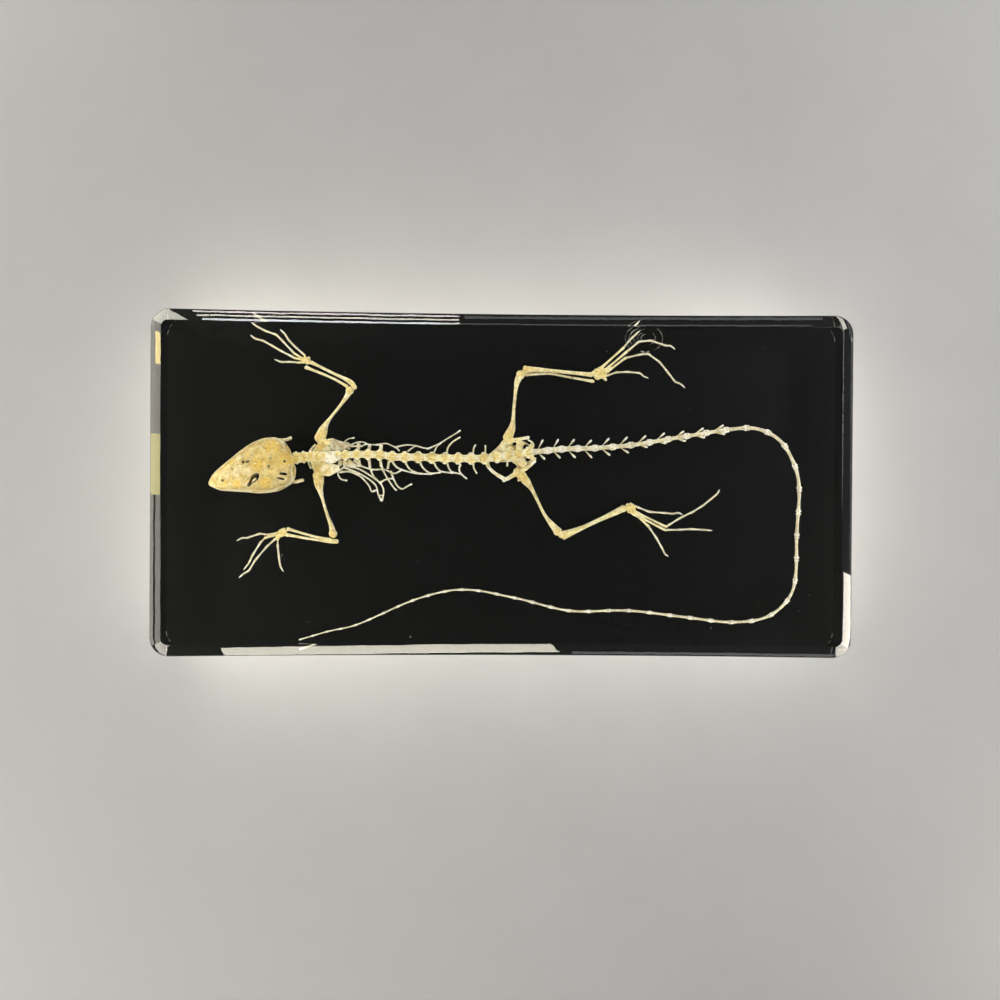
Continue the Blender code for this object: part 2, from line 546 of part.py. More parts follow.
def make_spine_group(name, route, places, first, count, finish, extras):
    """some vertebrae in one body: each has a waisted centrum, side processes and a leaning crest"""
    trim = JOINT_GAP / 2
    rings = []
    knob = CENTRUM_RADIUS * (0.85 if first == 0 else 1.0)
    rise = 1.3 if first == 0 else 1.8
    for index in range(first, first + count):
        start = places[index] + (trim if index == first else 0.0)
        end = places[index + 1] - (trim if index == first + count - 1 else 0.0)
        reach = half_width(index)
        for share, centrum, wing, crest in ((0.0, knob, 0.95, 0.5), (0.3, knob * 0.76, reach * 0.92, 0.75),
                                            (0.58, knob * 0.72, reach, 0.6 * rise + 0.3),
                                            (0.88, knob * 0.94, 1.05, rise)):
            rings.append(spine_ring(route, start + share * (end - start),
                                    vertebra_section(centrum, wing, crest)))
    rings.append(spine_ring(route, end, vertebra_section(knob, 0.95, 0.5)))
    return finished(name, [loft("vertebrae", rings)] + extras, finish)


def make_spine(finish):
    route = Route(SPINE_ROUTE)
    places = vertebra_places(route, SPINE_PITCH)
    chest = NECK_VERTEBRAE
    loin = chest + CHEST_VERTEBRAE
    sacrum = loin + LOIN_VERTEBRAE
    ribs = [rib(points, number) for number, points in enumerate(LOIN_RIBS)]
    for name, first, count, extras in (
            ("spine_neck", 0, NECK_VERTEBRAE, []), ("spine_chest", chest, CHEST_VERTEBRAE, []),
            ("spine_loin", loin, LOIN_VERTEBRAE, ribs),
            ("sacrum", sacrum, SACRUM_VERTEBRAE, sacral_wings(route, places[sacrum:]))):
        room_round([make_spine_group(name, route, places, first, count, finish, extras)])


def rib_height(offset):
    return RIB_LEVEL - RIB_DROOP * max(abs(offset) - 1.7, 0.0)


def rib(route_points, number):
    """a thin rib through a few plan points, a little above or below its neighbours"""
    lift = RIB_STAGGER * ((number * 2) % 5 - 2)
    spine = Route(SPINE_ROUTE)
    placed = []
    for x, y in route_points:
        middle = smooth([point.x for point in spine.points], [point.y for point in spine.points], x)
        offset = y - middle
        placed.append((x, y, rib_height(offset) + lift))
    curve = Route(placed)
    count = max(3, round(curve.length / RIB_STEP) + 1)
    points = curve.even(count)
    return tube("rib", points, [RIB_RADIUS] * count, 6)


def make_ribs(finish):
    for name, lines in (("ribs_left", LEFT_RIBS), ("ribs_right", RIGHT_RIBS)):
        ribs = [rib(points, number) for number, points in enumerate(lines)]
        room_round([finished(name, ribs, finish)])


def sacral_wings(route, places):
    """short stout bars from the sacral vertebrae to the ilia"""
    wings = []
    for index in (0, 1):
        middle = route.at((places[index] + places[index + 1]) / 2)
        for side, reach in ((1, 3.0), (-1, 2.8 - 0.5 * index)):
            end = middle + Vector((0.5, side * reach, 0.1))
            wings.append(strap("wing", [middle, middle.lerp(end, 0.6), end], [1.6, 1.5, 2.4],
                               [1.4, 1.1, 1.2], 6))
    return wings


def tail_pitches():
    """vertebrae lengthen over the first third of the tail and shorten again towards the tip"""
    return [smooth(TAIL_PITCH_STATIONS, TAIL_PITCHES, index) for index in range(TAIL_VERTEBRAE)]


def tail_radius(share):
    steps = [index / (len(TAIL_KNOB_RADIUS) - 1) for index in range(len(TAIL_KNOB_RADIUS))]
    return smooth(steps, TAIL_KNOB_RADIUS, share)


def bar_reach(index):
    return SIDE_BAR_REACH * (1.0 - 0.045 * index)


def side_bars(route, start, end, index):
    """the swept-back processes on both sides of a front tail vertebra"""
    bars = []
    root = route.at(start + 0.45 * (end - start))
    along = route.heading(start)
    across = Vector((-along.y, along.x, 0.0)).normalized()
    reach = bar_reach(index)
    for side in (1, -1):
        if side < 0 and index > 5:
            continue
        tip = root + across * (side * reach) + along * (SIDE_BAR_LEAN + SIDE_BAR_SWEEP * min(index, 6))
        bars.append(tube("bar", [root, root.lerp(tip, 0.5), tip], [0.45, 0.3, 0.27], 4))
    return bars


def make_tail(finish):
    route = Route(TAIL_ROUTE)
    places = vertebra_places(route, tail_pitches())
    for number in range(TAIL_LENGTHS):
        first = TAIL_VERTEBRAE * number // TAIL_LENGTHS
        last = TAIL_VERTEBRAE * (number + 1) // TAIL_LENGTHS
        points = []
        radii = []
        bars = []
        for index in range(first, last):
            start = places[index] + (JOINT_GAP / 2 if index == first else 0.0)
            end = places[index + 1] - (JOINT_GAP / 2 if index == last - 1 else 0.0)
            for share, waist in ((0.0, 1.0), (0.45, 0.66)):
                along = start + share * (end - start)
                points.append(route.at(along))
                radii.append(tail_radius(along / route.length) * waist)
            if index < BARRED_VERTEBRAE:
                bars += side_bars(route, start, end, index)
        points.append(route.at(end))
        radii.append(tail_radius(end / route.length))
        finished("tail_%d" % (number + 1), [tube("tail", points, radii, 6)] + bars, finish)
    line = [route.at(place) for place in places]
    barred = BARRED_VERTEBRAE + 2
    widths = [2 * bar_reach(max(index - 2, 0)) + 0.7 for index in range(barred)]
    widths += [1.8] * (len(line) - barred)
    tail_room(line, widths, [2.2] * barred + [1.6] * (len(line) - barred))


def long_bone(name, points, widths, heights, finish):
    """a limb bone with its two broad ends, drawn along a few points"""
    curve = Route(points)
    count = 9
    steps = [index / (count - 1) for index in range(count)]
    marks = [index / (len(widths) - 1) for index in range(len(widths))]
    line = [curve.at(curve.length * step) for step in steps]
    across = [smooth(marks, widths, step) for step in steps]
    upright = [smooth(marks, heights, step) for step in steps]
    sides = 8 if max(widths) > THIN_BONE_WIDTH else 6
    room_round([finished(name, [strap(name, line, across, upright, sides)], finish)])


def make_limb_bones(finish):
    for name, points, (widths, heights) in LIMB_BONES:
        long_bone(name, points, widths, heights, finish)


def make_digit(name, root, lengths, headings, level, finish):
    """a row of small bones in one body, each thin in the middle, the last tapering to a claw"""
    place = Vector((*root, level))
    points = []
    radii = []
    for index, (length, heading) in enumerate(zip(lengths, headings)):
        turn = math.radians(heading)
        step = Vector((math.cos(turn) * length, math.sin(turn) * length, -DIGIT_FALL))
        knuckle = KNUCKLE_RADIUS * (1.0 - 0.05 * index)
        for share, radius in ((0.0, knuckle), (0.5, PHALANX_RADIUS)):
            points.append(place + step * share)
            radii.append(radius)
        place = place + step
    points.append(place)
    radii.append(CLAW_RADIUS)
    return finished(name, [tube(name, points, radii, 6)], finish)


def make_foot(names, digits, rises, wrist, spur, finishes):
    """the digits of one hand or foot, and the wrist or ankle with the palm bones that reach them"""
    digit_name, wrist_name = names
    centre, radii, turn, starts = wrist
    bones = []
    pieces = [lump(wrist_name, centre, radii, turn)]
    for number, ((root, lengths, headings), rise) in enumerate(zip(digits, rises), 1):
        level = DIGIT_LEVEL + rise
        name = "%s_%d" % (digit_name, number)
        bones.append(make_digit(name, root, lengths, headings, level, finishes[0]))
        heading = math.radians(headings[0])
        back = Vector((math.cos(heading), math.sin(heading), 0.0))
        end = Vector((*root, level)) - back * JOINT_GAP
        neck = end - back * PALM_NECK
        start = Vector((*starts[number - 1], DIGIT_LEVEL + 0.2))
        pieces.append(tube("palm_bone", [start, start.lerp(neck, 0.5), neck, end], PALM_RADII, 6))
    tip = Vector((*spur, centre[2] + 0.3))
    pieces.append(tube("spur", [Vector(centre), tip], [0.6, 0.4], 6))
    bones.append(finished(wrist_name, pieces, finishes[1]))
    room_round(bones)


def make_feet(digit_finish, wrist_finish):
    finishes = (digit_finish, wrist_finish)
    level = (0.0, 0.0, 0.0, 0.0)
    make_foot(("finger_right", "carpus_right"), FINGERS_RIGHT, (0.0, 0.0, 0.5, 0.0), CARPUS_RIGHT,
              (-56.9, 37.1), finishes)
    make_foot(("finger_left", "carpus_left"), FINGERS_LEFT, (0.0, 1.1, 0.0, 0.0), CARPUS_LEFT,
              (-63.9, -12.9), finishes)
    make_foot(("toe_right", "tarsus_right"), TOES_RIGHT, level, TARSUS_RIGHT, (30.2, 31.0), finishes)
    make_foot(("toe_left", "tarsus_left"), TOES_LEFT, (0.9, 0.0, 0.0, 0.0), TARSUS_LEFT,
              (37.6, -4.9), finishes)


def make_shoulder(name, shoulder, finish):
    socket, blade, plate, blade_widths, plate_widths = shoulder
    pieces = [lump(name, socket, (1.7, 1.25, 1.3)),
              strap("blade", blade, blade_widths, (1.0, 0.8, 0.65, 0.6)),
              strap("plate", plate, plate_widths, (1.0, 0.7))]
    return finished(name, pieces, finish)


def make_breastbone(finish):
    """a thin plate under the chest, with the bar and the two curved rods in front of it"""
    pieces = [strap("plate", BREAST_PLATE, (0.8, 1.5, 0.6), (0.6, 0.6, 0.5)),
              strap("bar", (BREAST_FRONT, (-54.0, 8.1, 8.9)), (0.7, 0.8), (0.7, 0.7), 6)]
    for middle, end in COLLAR_RODS:
        rod = Route((BREAST_FRONT, middle, end)).even(4)
        pieces.append(strap("rod", rod, (0.7, 0.65, 0.6, 0.6), (0.7, 0.65, 0.6, 0.6), 6))
    return finished("breastbone", pieces, finish)


def make_pelvis(name, half, finish):
    socket, ilium, pubis, ischium, bar_widths, plate_widths = half
    pieces = [lump(name, socket, (1.8, 1.5, 1.4)),
              strap("ilium", ilium, (1.5, 1.1, 0.9), (1.7, 1.4, 0.9)),
              strap("pubis", Route(pubis).even(8), bar_widths, (0.9,) * 8),
              strap("ischium", ischium, plate_widths, (1.0, 0.8, 0.7))]
    return finished(name, pieces, finish)


def make_girdles(finish):
    room_round([make_shoulder("shoulder_right", SHOULDER_RIGHT, finish),
                make_shoulder("shoulder_left", SHOULDER_LEFT, finish), make_breastbone(finish)])
    room_round([make_pelvis("pelvis_right", PELVIS_RIGHT, finish),
                make_pelvis("pelvis_left", PELVIS_LEFT, finish)])


def slab_outline(inset, height):
    """the block's outline, drawn in by some inset: round corners, and long sides that bow in a little"""
    radius = CORNER_RADIUS - inset
    half_length = BLOCK_LENGTH / 2 - inset
    half_width = BLOCK_WIDTH / 2 - inset
    outline = []
    for corner, (side, edge) in enumerate(((1, 1), (-1, 1), (-1, -1), (1, -1))):
        for step in range(CORNER_STEPS + 1):
            turn = math.pi / 2 * (corner + step / CORNER_STEPS)
            outline.append((side * (half_length - radius) + radius * math.cos(turn),
                            edge * (half_width - radius) + radius * math.sin(turn)))
        if side == edge:
            span = 2 * (half_length - radius) / SIDE_STEPS
            outline += [(side * (half_length - radius - span * step), outline[-1][1])
                        for step in range(1, SIDE_STEPS)]
    bowed = []
    for x, y in outline:
        share = 2 * x / BLOCK_LENGTH
        bowed.append((x, y * (1 - SIDE_DRAW * (1 - share * share) / (BLOCK_WIDTH / 2)), height))
    return bowed


def slab(name, profile):
    """a flat body with the block's outline; the profile lists insets and heights from its foot to its top"""
    return loft(name, [slab_outline(inset, height) for inset, height in profile])


def make_block(clear, black):
    backing = slab("backing_layer", ((BACK_ROUND, 0.0), (0.18 * BACK_ROUND, 0.29 * BACK_ROUND),
                                     (0.0, BACK_ROUND), (0.0, BACKING)))
    finished("backing_layer", [backing], black)
    block = slab("acrylic_block", ((0.0, BACKING + JOINT_GAP), (0.0, BLOCK_HEIGHT - RIM_DROP),
                                   (0.08 * RIM_WIDTH, BLOCK_HEIGHT - 0.84 * RIM_DROP),
                                   (0.5 * RIM_WIDTH, BLOCK_HEIGHT - 0.4 * RIM_DROP),
                                   (0.87 * RIM_WIDTH, BLOCK_HEIGHT - 0.07 * RIM_DROP),
                                   (RIM_WIDTH, BLOCK_HEIGHT)))
    rooms.append(tube("vent", [(*VENT_PLACE, 0.6), (*VENT_PLACE, 12.0)], [VENT_RADIUS] * 2, 8))
    hollow = combine(rooms[0], rooms[1:], "UNION")
    keep_largest_surface(hollow.data)
    block = combine(block, [hollow], "DIFFERENCE")
    keep_largest_surface(block.data)
    finished("acrylic_block", [block], clear)


for leftover in list(bpy.data.objects):
    bpy.data.objects.remove(leftover)
PARTS = bpy.data.collections.new("lizard_skeleton_block")
CUTTERS = bpy.data.collections.new("cutters")
bpy.context.scene.collection.children.link(PARTS)
bpy.context.scene.collection.children.link(CUTTERS)

skull_bone = material("skull_bone", (0.73, 0.56, 0.25), 0.55)
limb_bone = material("limb_bone", (0.83, 0.74, 0.46), 0.5)
thin_bone = material("thin_bone", (0.87, 0.83, 0.68), 0.5)
clear_acrylic = material("clear_acrylic", (1.0, 1.0, 1.0), 0.02, 1.0)
black_acrylic = material("black_acrylic", (0.006, 0.006, 0.006), 0.1)

skull_body = loft("skull", [skull_ring(along) for along in SKULL_STATIONS])
room_round([skull_body, make_mandible(skull_bone)])
make_spine(limb_bone)
make_ribs(thin_bone)
make_tail(thin_bone)
make_limb_bones(limb_bone)
make_feet(thin_bone, limb_bone)
make_girdles(limb_bone)
make_block(clear_acrylic, black_acrylic)
make_skull(skull_body, skull_bone)
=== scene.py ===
"""Looks of a garden lizard's skeleton cast in a clear block: bones, acrylic, studio and camera.

Places and sizes are in millimetres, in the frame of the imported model, and turned into metres where a
mesh is made. X runs from the snout's end of the block to the bend of the tail, Y to the animal's right
and Z up to the clear front face.
"""

import math
import random

import bmesh
import bpy
import numpy as np
from mathutils import Matrix, Vector, noise


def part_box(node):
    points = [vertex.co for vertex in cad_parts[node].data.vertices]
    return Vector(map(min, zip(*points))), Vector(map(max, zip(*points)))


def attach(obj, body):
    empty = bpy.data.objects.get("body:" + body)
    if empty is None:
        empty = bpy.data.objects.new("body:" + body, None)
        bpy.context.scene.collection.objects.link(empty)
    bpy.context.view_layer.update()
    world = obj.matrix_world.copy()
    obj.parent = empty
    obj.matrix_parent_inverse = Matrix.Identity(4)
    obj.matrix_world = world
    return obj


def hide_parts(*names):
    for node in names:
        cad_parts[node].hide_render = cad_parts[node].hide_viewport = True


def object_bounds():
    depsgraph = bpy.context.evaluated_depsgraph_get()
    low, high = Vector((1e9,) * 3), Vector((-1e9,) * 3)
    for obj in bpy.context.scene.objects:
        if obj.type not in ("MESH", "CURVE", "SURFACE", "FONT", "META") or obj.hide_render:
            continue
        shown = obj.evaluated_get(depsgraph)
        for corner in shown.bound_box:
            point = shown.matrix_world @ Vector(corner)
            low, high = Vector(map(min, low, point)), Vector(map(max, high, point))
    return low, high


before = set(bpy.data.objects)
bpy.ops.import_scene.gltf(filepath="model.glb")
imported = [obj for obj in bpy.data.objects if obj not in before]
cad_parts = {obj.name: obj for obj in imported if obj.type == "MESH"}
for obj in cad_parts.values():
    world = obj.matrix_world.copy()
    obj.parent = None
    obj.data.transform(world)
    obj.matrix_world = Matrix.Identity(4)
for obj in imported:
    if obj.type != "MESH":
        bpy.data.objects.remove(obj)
cad_low, cad_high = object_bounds()

MM = 0.001
BODY = "root"
CAMERA_PLACE = (-6.65, -3.09, 272.14)
CAMERA_TURN = (-0.294, -1.256, 0.372)  # degrees about X, Y and Z
CAMERA_LENS = 31.536
CAMERA_SENSOR = 36.0
CAMERA_NEAR = 0.01  # metres

# Fineness of the fused skins, and how far the bones' surfaces rise and fall
SKULL_VOXEL = 0.15
BONE_VOXEL = 0.13
THIN_VOXEL = 0.11
BONE_RELIEF = 0.035
SKULL_RELIEF = 0.06
SHOULDER_RELIEF = 0.05
PELVIS_RELIEF = 0.07
LIMB_RELIEF = 0.03
TAIL_RELIEF = 0.025
RIB_RELIEF = 0.02
WRIST_RELIEF = 0.02
DIGIT_RELIEF = 0.015
RELIEF_GRAIN = 1.3
RELAXING = 3  # rounds of evening out each skin
THIN_RELAXING = 2
PATCH_STRENGTH = 1.3  # of colour patches in their middle, then levelled at 1
RIM_HIGHLIGHT_START = 0.38  # the upright share of a normal below which a steep side is painted paler, as a painted rim highlight

# The block's rim, in plan and in height, and the small rounds beside its chamfer
CORNER_RADIUS = 5.5
SIDE_DRAW = 0.7
RIM_WIDTH = 3.4
RIM_DROP = 1.88
RIM_CROWN = 3.0  # degrees that the chamfer's slope varies either way
LOWER_ROUND = (8, 0.06)  # steps over the round below the chamfer, and their length
CHAMFER = (10, 0.38)
UPPER_ROUND = (8, 0.05)
CORNER_STEPS = 14
EDGE_STEPS = 40
SUNK = 0.05  # how far the clear block reaches into its black back

# The head, along its own axis from the tip of the snout
SNOUT_TIP = (-85.4, -0.2)
HEAD_HEADING = 16.3
SKULL_LENGTH = 25.2
JAW_LINE = 11.4
SKULL_STATIONS = (0.0, 1.0, 2.6, 5.0, 8.0, 11.0, 14.0, 17.0, 20.0, 22.5, 24.3, 25.2)
SKULL_RIGHT = (0.5, 1.5, 2.75, 3.9, 5.15, 6.45, 7.55, 8.15, 8.1, 7.4, 5.6, 3.2)
SKULL_LEFT = (0.5, 1.5, 2.6, 3.55, 4.55, 5.6, 6.65, 7.2, 7.05, 6.6, 5.2, 3.2)
SKULL_ROOF = (1.2, 2.3, 3.5, 4.8, 6.2, 7.3, 7.7, 7.7, 7.4, 6.9, 6.0, 4.6)
SKULL_SECTION = (
    (0.0, 0.0), (0.55, 0.0), (0.93, 0.02), (1.0, 0.16), (0.985, 0.36), (0.92, 0.58), (0.82, 0.78),
    (0.68, 0.92), (0.5, 0.985), (0.26, 0.97), (0.0, 0.985),
)
SKULL_RINGS = 72
RING_STEPS = 40  # over each half of a ring
# Swellings and hollows of the roof: height, place across as a share of the half width, breadth, place
# along, length, and how the place across shifts along the head
SKULL_SWELLINGS = (
    (0.45, 0.66, 0.13, 12.0, 5.0, 0.0), (-0.5, 0.42, 0.17, 12.6, 3.0, 0.0), (0.3, 0.55, 0.2, 6.0, 2.4, 0.0),
    (-0.25, 0.0, 0.3, 6.5, 2.5, 0.0), (0.35, 0.3, 0.1, 20.0, 3.4, 0.03), (-0.55, 0.62, 0.2, 21.0, 2.2, 0.0),
    (0.15, 0.0, 0.12, 15.0, 6.0, 0.0),
)
# Openings and pits of the skull's roof: place along and to the right, half length and half width, turn
# from the head's axis, and depth
SKULL_OPENINGS = (
    (14.0, -2.4, 2.0, 1.12, 30, 9.0), (12.3, -3.55, 1.1, 0.62, 27, 9.0),
    (22.1, -3.35, 1.3, 0.42, -22, 9.0), (21.05, -4.5, 1.25, 0.34, -30, 9.0),
    (4.7, -0.4, 0.5, 0.45, 0, 2.0), (8.5, 1.9, 0.3, 0.5, 20, 1.2), (12.1, 2.95, 0.5, 0.42, 0, 9.0),
    (13.5, 2.7, 0.7, 0.26, 10, 1.6), (15.0, 4.1, 0.34, 0.28, 0, 1.2), (14.8, 2.6, 0.4, 0.2, 0, 1.1),
    (18.9, -0.3, 0.45, 0.4, 0, 1.8), (20.0, 1.8, 0.46, 0.28, 50, 1.2), (23.4, -0.1, 0.42, 0.4, 0, 1.7),
)
# Rooms under the roof and in the skull's sides and back: place, height, half lengths and turn
SKULL_ROOMS = (
    (13.6, -2.9, 14.7, (2.7, 1.9, 2.3), 20), (21.6, -4.0, 14.4, (2.0, 1.5, 1.9), -25),
    (12.9, 2.8, 15.0, (1.2, 1.0, 2.0), 0),
    (12.8, 7.9, 14.6, (2.8, 1.7, 1.6), 0), (12.8, -7.1, 14.6, (2.8, 1.7, 1.6), 0),
    (20.2, 8.9, 13.8, (2.4, 1.5, 1.1), 0), (20.2, -8.1, 13.8, (2.4, 1.5, 1.1), 0),
    (26.4, 3.9, 14.8, (2.6, 3.0, 3.6), 0), (26.4, -3.9, 14.8, (2.6, 3.0, 3.6), 0),
)
# The right temple's hollow: place, how far its middle lies over the roof, half lengths, and its crease
TEMPLE = (21.3, 5.25)
TEMPLE_LIFT = 0.95
TEMPLE_RADII = (2.7, 1.5, 1.35)
TEMPLE_CREASE = ((18.6, 6.2), (19.2, 4.8), (20.6, 4.0), (22.4, 3.8), (23.8, 4.5))
# The bulge over the nape, and the splinter of bone in the left orbit
NAPE = ((23.4, -0.2, 16.2), (24.8, 0.1, 14.9), (25.9, 0.3, 14.1))
SPLINT = ((13.7, -2.85, 1.0), (13.6, -2.8, 3.0), (13.6, -2.8, 5.6))
# Ridges on the roof with their widths, and patches: place, radius, and tone from chalky -1 to amber 1
SKULL_RIDGES = (
    (((8.6, 2.9), (10.0, 2.2), (11.6, 2.0), (13.6, 1.9)), 0.45),
    (((10.4, 4.6), (12.2, 4.4), (13.6, 3.7)), 0.6), (((4.0, 1.6), (5.4, 2.0), (6.8, 2.3)), 0.4),
    (((11.0, -2.4), (12.6, -1.3), (14.6, -0.6), (16.6, -0.6)), 0.5),
    (((16.6, -0.9), (17.2, -2.4), (17.4, -4.0)), 0.5), (((11.0, -4.2), (12.6, -4.7), (14.6, -4.4)), 0.45),
    (((17.6, 6.9), (18.2, 5.4), (19.6, 3.6), (22.0, 3.1)), 0.5),
    (((15.6, 5.4), (16.6, 3.6), (16.2, 2.2)), 0.4), (((19.6, -2.9), (21.6, -2.2), (24.0, -2.6)), 0.4),
    (((5.6, -2.6), (7.4, -1.4), (9.8, -1.2)), 0.4),
)
SKULL_PATCHES = (
    (21.3, 5.3, 2.9, 1.1), (8.8, 4.1, 1.3, 1.5), (16.8, -4.7, 1.9, 1.5), (8.6, -2.7, 1.7, 1.0),
    (17.5, 2.6, 3.4, 0.35), (15.6, 0.9, 2.2, 0.5), (22.5, 0.8, 3.2, 0.4), (19.5, -1.5, 2.6, 0.3),
    (24.4, 0.3, 2.6, 0.6), (13.4, -3.0, 2.9, 0.2), (6.4, 0.9, 2.0, -0.35), (9.6, 0.9, 2.3, -0.4),
    (11.2, 4.4, 1.4, -0.6), (3.0, 0.4, 1.8, -0.1), (12.6, -0.2, 1.5, -0.4), (10.4, -4.6, 1.4, -0.4),
    (5.2, -1.6, 1.1, 0.7), (7.0, 2.6, 0.9, 0.6), (8.5, 1.9, 0.8, 0.8), (4.6, -0.3, 0.9, 0.6),
    (10.6, -0.7, 1.0, 0.4), (7.4, -0.6, 0.7, 0.5), (11.9, 3.2, 0.9, 0.7), (14.2, 4.6, 1.1, 0.5),
)
MANDIBLE_LEVEL = 10.6
MANDIBLE_STATIONS = (2.6, 5.0, 9.0, 14.0, 19.0, 23.0)
MANDIBLE_WIDTHS = (1.0, 1.1, 1.1, 1.15, 1.2, 1.2, 1.3, 1.5, 1.25, 1.05, 1.0)
MANDIBLE_HEIGHTS = (1.3, 1.4, 1.45, 1.5, 1.6, 1.8, 1.8, 1.7, 1.2, 0.9, 0.8)
MANDIBLE_INSET = 0.44  # of its middle line from the skull's outline
SPUR_LENGTH = 2.3

# The spine
SPINE_ROUTE = (
    (-60.9, 7.35, 13.6), (-57.0, 7.75, 13.45), (-50.0, 8.1, 13.2), (-42.0, 8.6, 13.0), (-36.0, 8.5, 12.9),
    (-31.9, 8.0, 12.85), (-24.7, 7.9, 12.8), (-16.7, 7.7, 12.7), (-9.3, 7.65, 12.6), (-3.5, 7.95, 12.45),
    (0.9, 8.7, 12.3), (8.2, 9.7, 11.6),
)
SPINE_GROUPS = (("spine_neck", 7), ("spine_chest", 8), ("spine_loin", 6), ("sacrum", 2))
SPINE_PITCH = (
    2.05, 2.05, 2.0, 1.9, 1.8, 1.8, 1.8, 3.35, 3.25, 3.2, 3.5, 3.65, 3.8, 3.95, 3.95, 3.75, 3.7, 3.8, 3.7,
    3.45, 3.35, 3.0, 2.3,
)
CENTRUM_RADIUS = 0.95
VERTEBRA_STATIONS = (0, 3, 6, 11, 16, 22)
VERTEBRA_REACH = (1.85, 1.65, 1.55, 1.65, 1.75, 1.75)
NECK_WAIST = 1.5  # against 1 in the other vertebrae
CREST_RISE = 0.35

# The tail
TAIL_ROUTE = (
    (8.25, 9.72, 11.4), (17.6, 10.7, 10.2), (26.9, 11.1, 9.7), (37.9, 12.1, 9.4), (54.4, 14.9, 9.0),
    (72.1, 17.4, 9.0), (78.6, 15.9, 9.0), (83.5, 11.7, 9.0), (87.4, 2.0, 9.0), (87.0, -14.3, 9.0),
    (86.6, -28.0, 9.0), (84.2, -33.8, 9.0), (78.0, -38.6, 9.0), (68.0, -40.1, 9.0), (55.0, -38.8, 9.0),
    (37.1, -36.8, 9.0), (19.8, -36.9, 9.0), (3.6, -33.2, 9.0), (-11.8, -30.8, 9.0), (-25.2, -33.6, 9.0),
    (-43.0, -41.3, 9.0), (-51.4, -43.3, 9.0), (-59.6, -45.7, 9.0),
)
TAIL_VERTEBRAE = 49
TAIL_LENGTHS = 8
TAIL_KNOB_RADIUS = (1.05, 0.85, 0.65, 0.5, 0.3)  # at even steps from base to tip
TAIL_PITCH_STATIONS = (0, 1, 2, 3, 5, 9, 13, 17, 22, 28, 33, 37, 42, 49)
TAIL_PITCHES = (4.8, 4.2, 4.8, 5.05, 5.5, 5.8, 6.6, 6.95, 6.15, 6.15, 5.55, 5.2, 4.6, 4.1)
BARRED_VERTEBRAE = 11
SIDE_BAR_STATIONS = (0, 5, 6, 10)
SIDE_BAR_REACH = (2.95, 2.4, 1.75, 1.38)
SIDE_BAR_LEAN = 1.3
# How much longer than the mean of its pair each right bar is; the left one is as much shorter
SIDE_BAR_SKEW = (0.4, 0.2, 0.0, -0.2, 0.1, 0.2, 0.45, 0.45, 0.05, 0.15, 0.1)

# The ribs
RIB_RADIUS = 0.28
RIB_LEVEL = 12.3
RIB_DROOP = 0.3
DROOP_START = 1.7  # how far from the spine the ribs begin to droop
RIB_STAGGER = 0.05
LEFT_RIBS = (
    ((-46.6, 4.9), (-48.3, 3.3), (-47.5, 1.5), (-45.6, 1.0)),
    ((-47.9, 3.4), (-45.0, 3.6), (-41.8, 2.2), (-39.4, -0.4), (-38.6, -2.1), (-37.3, -1.7)),
    ((-46.8, 5.0), (-41.2, 2.6), (-37.5, -0.2), (-36.7, -3.0), (-35.8, -5.0)),
    ((-45.6, 5.4), (-42.2, 4.4), (-39.7, 3.0), (-36.0, 0.2), (-35.1, -2.0), (-35.7, -5.0)),
    ((-46.8, 5.6), (-42.0, 5.3), (-38.4, 4.3), (-34.8, 4.3), (-32.0, 3.2), (-29.4, 4.4)),
    ((-38.8, 4.5), (-38.1, 2.5), (-35.8, 0.1)),
    ((-35.6, 5.3), (-35.1, 3.9), (-33.8, 1.5), (-31.9, -1.3), (-31.2, -1.8)),
    ((-33.0, 4.0), (-32.1, 1.5), (-31.0, -0.5), (-29.7, -1.3), (-28.1, -0.5), (-26.7, 0.2)),
    ((-36.1, 0.5), (-34.2, 1.5), (-32.2, 1.7)),
    ((-32.4, 6.5), (-31.0, 4.9), (-28.5, 3.9), (-25.0, 3.2), (-20.8, 3.1)),
    ((-28.7, 6.4), (-27.4, 4.5), (-25.5, 3.5), (-23.5, 3.1)),
    ((-24.4, 6.4), (-23.3, 4.6), (-21.3, 3.35), (-18.2, 3.6)),
    ((-20.3, 6.3), (-19.6, 5.0), (-18.3, 3.9), (-14.7, 3.4)),
    ((-16.4, 6.2), (-16.1, 5.0), (-15.2, 3.8), (-12.2, 3.1)),
    ((-12.6, 6.1), (-13.0, 4.4), (-12.4, 3.2), (-10.7, 1.7)),
)
RIGHT_RIBS = (
    ((-44.7, 11.3), (-46.4, 12.1), (-45.4, 13.1), (-43.5, 13.5)),
    ((-45.4, 10.4), (-44.2, 11.5), (-42.6, 12.2), (-40.9, 12.2), (-39.4, 11.6), (-36.5, 11.5)),
    ((-41.6, 10.8), (-40.7, 11.4), (-39.6, 11.7)),
    ((-37.3, 11.4), (-34.4, 11.9), (-33.0, 11.4), (-31.3, 10.6), (-30.4, 9.7)),
    ((-31.9, 10.7), (-28.6, 11.5), (-25.8, 11.3), (-23.6, 10.7), (-21.9, 10.4)),
    ((-28.0, 9.6), (-26.9, 10.5), (-25.5, 11.2), (-23.9, 10.8)),
    ((-22.4, 10.3), (-19.0, 11.9), (-16.3, 13.6), (-14.4, 14.8), (-12.7, 16.0)),
    ((-20.3, 9.5), (-19.5, 11.1), (-18.3, 12.2)),
)
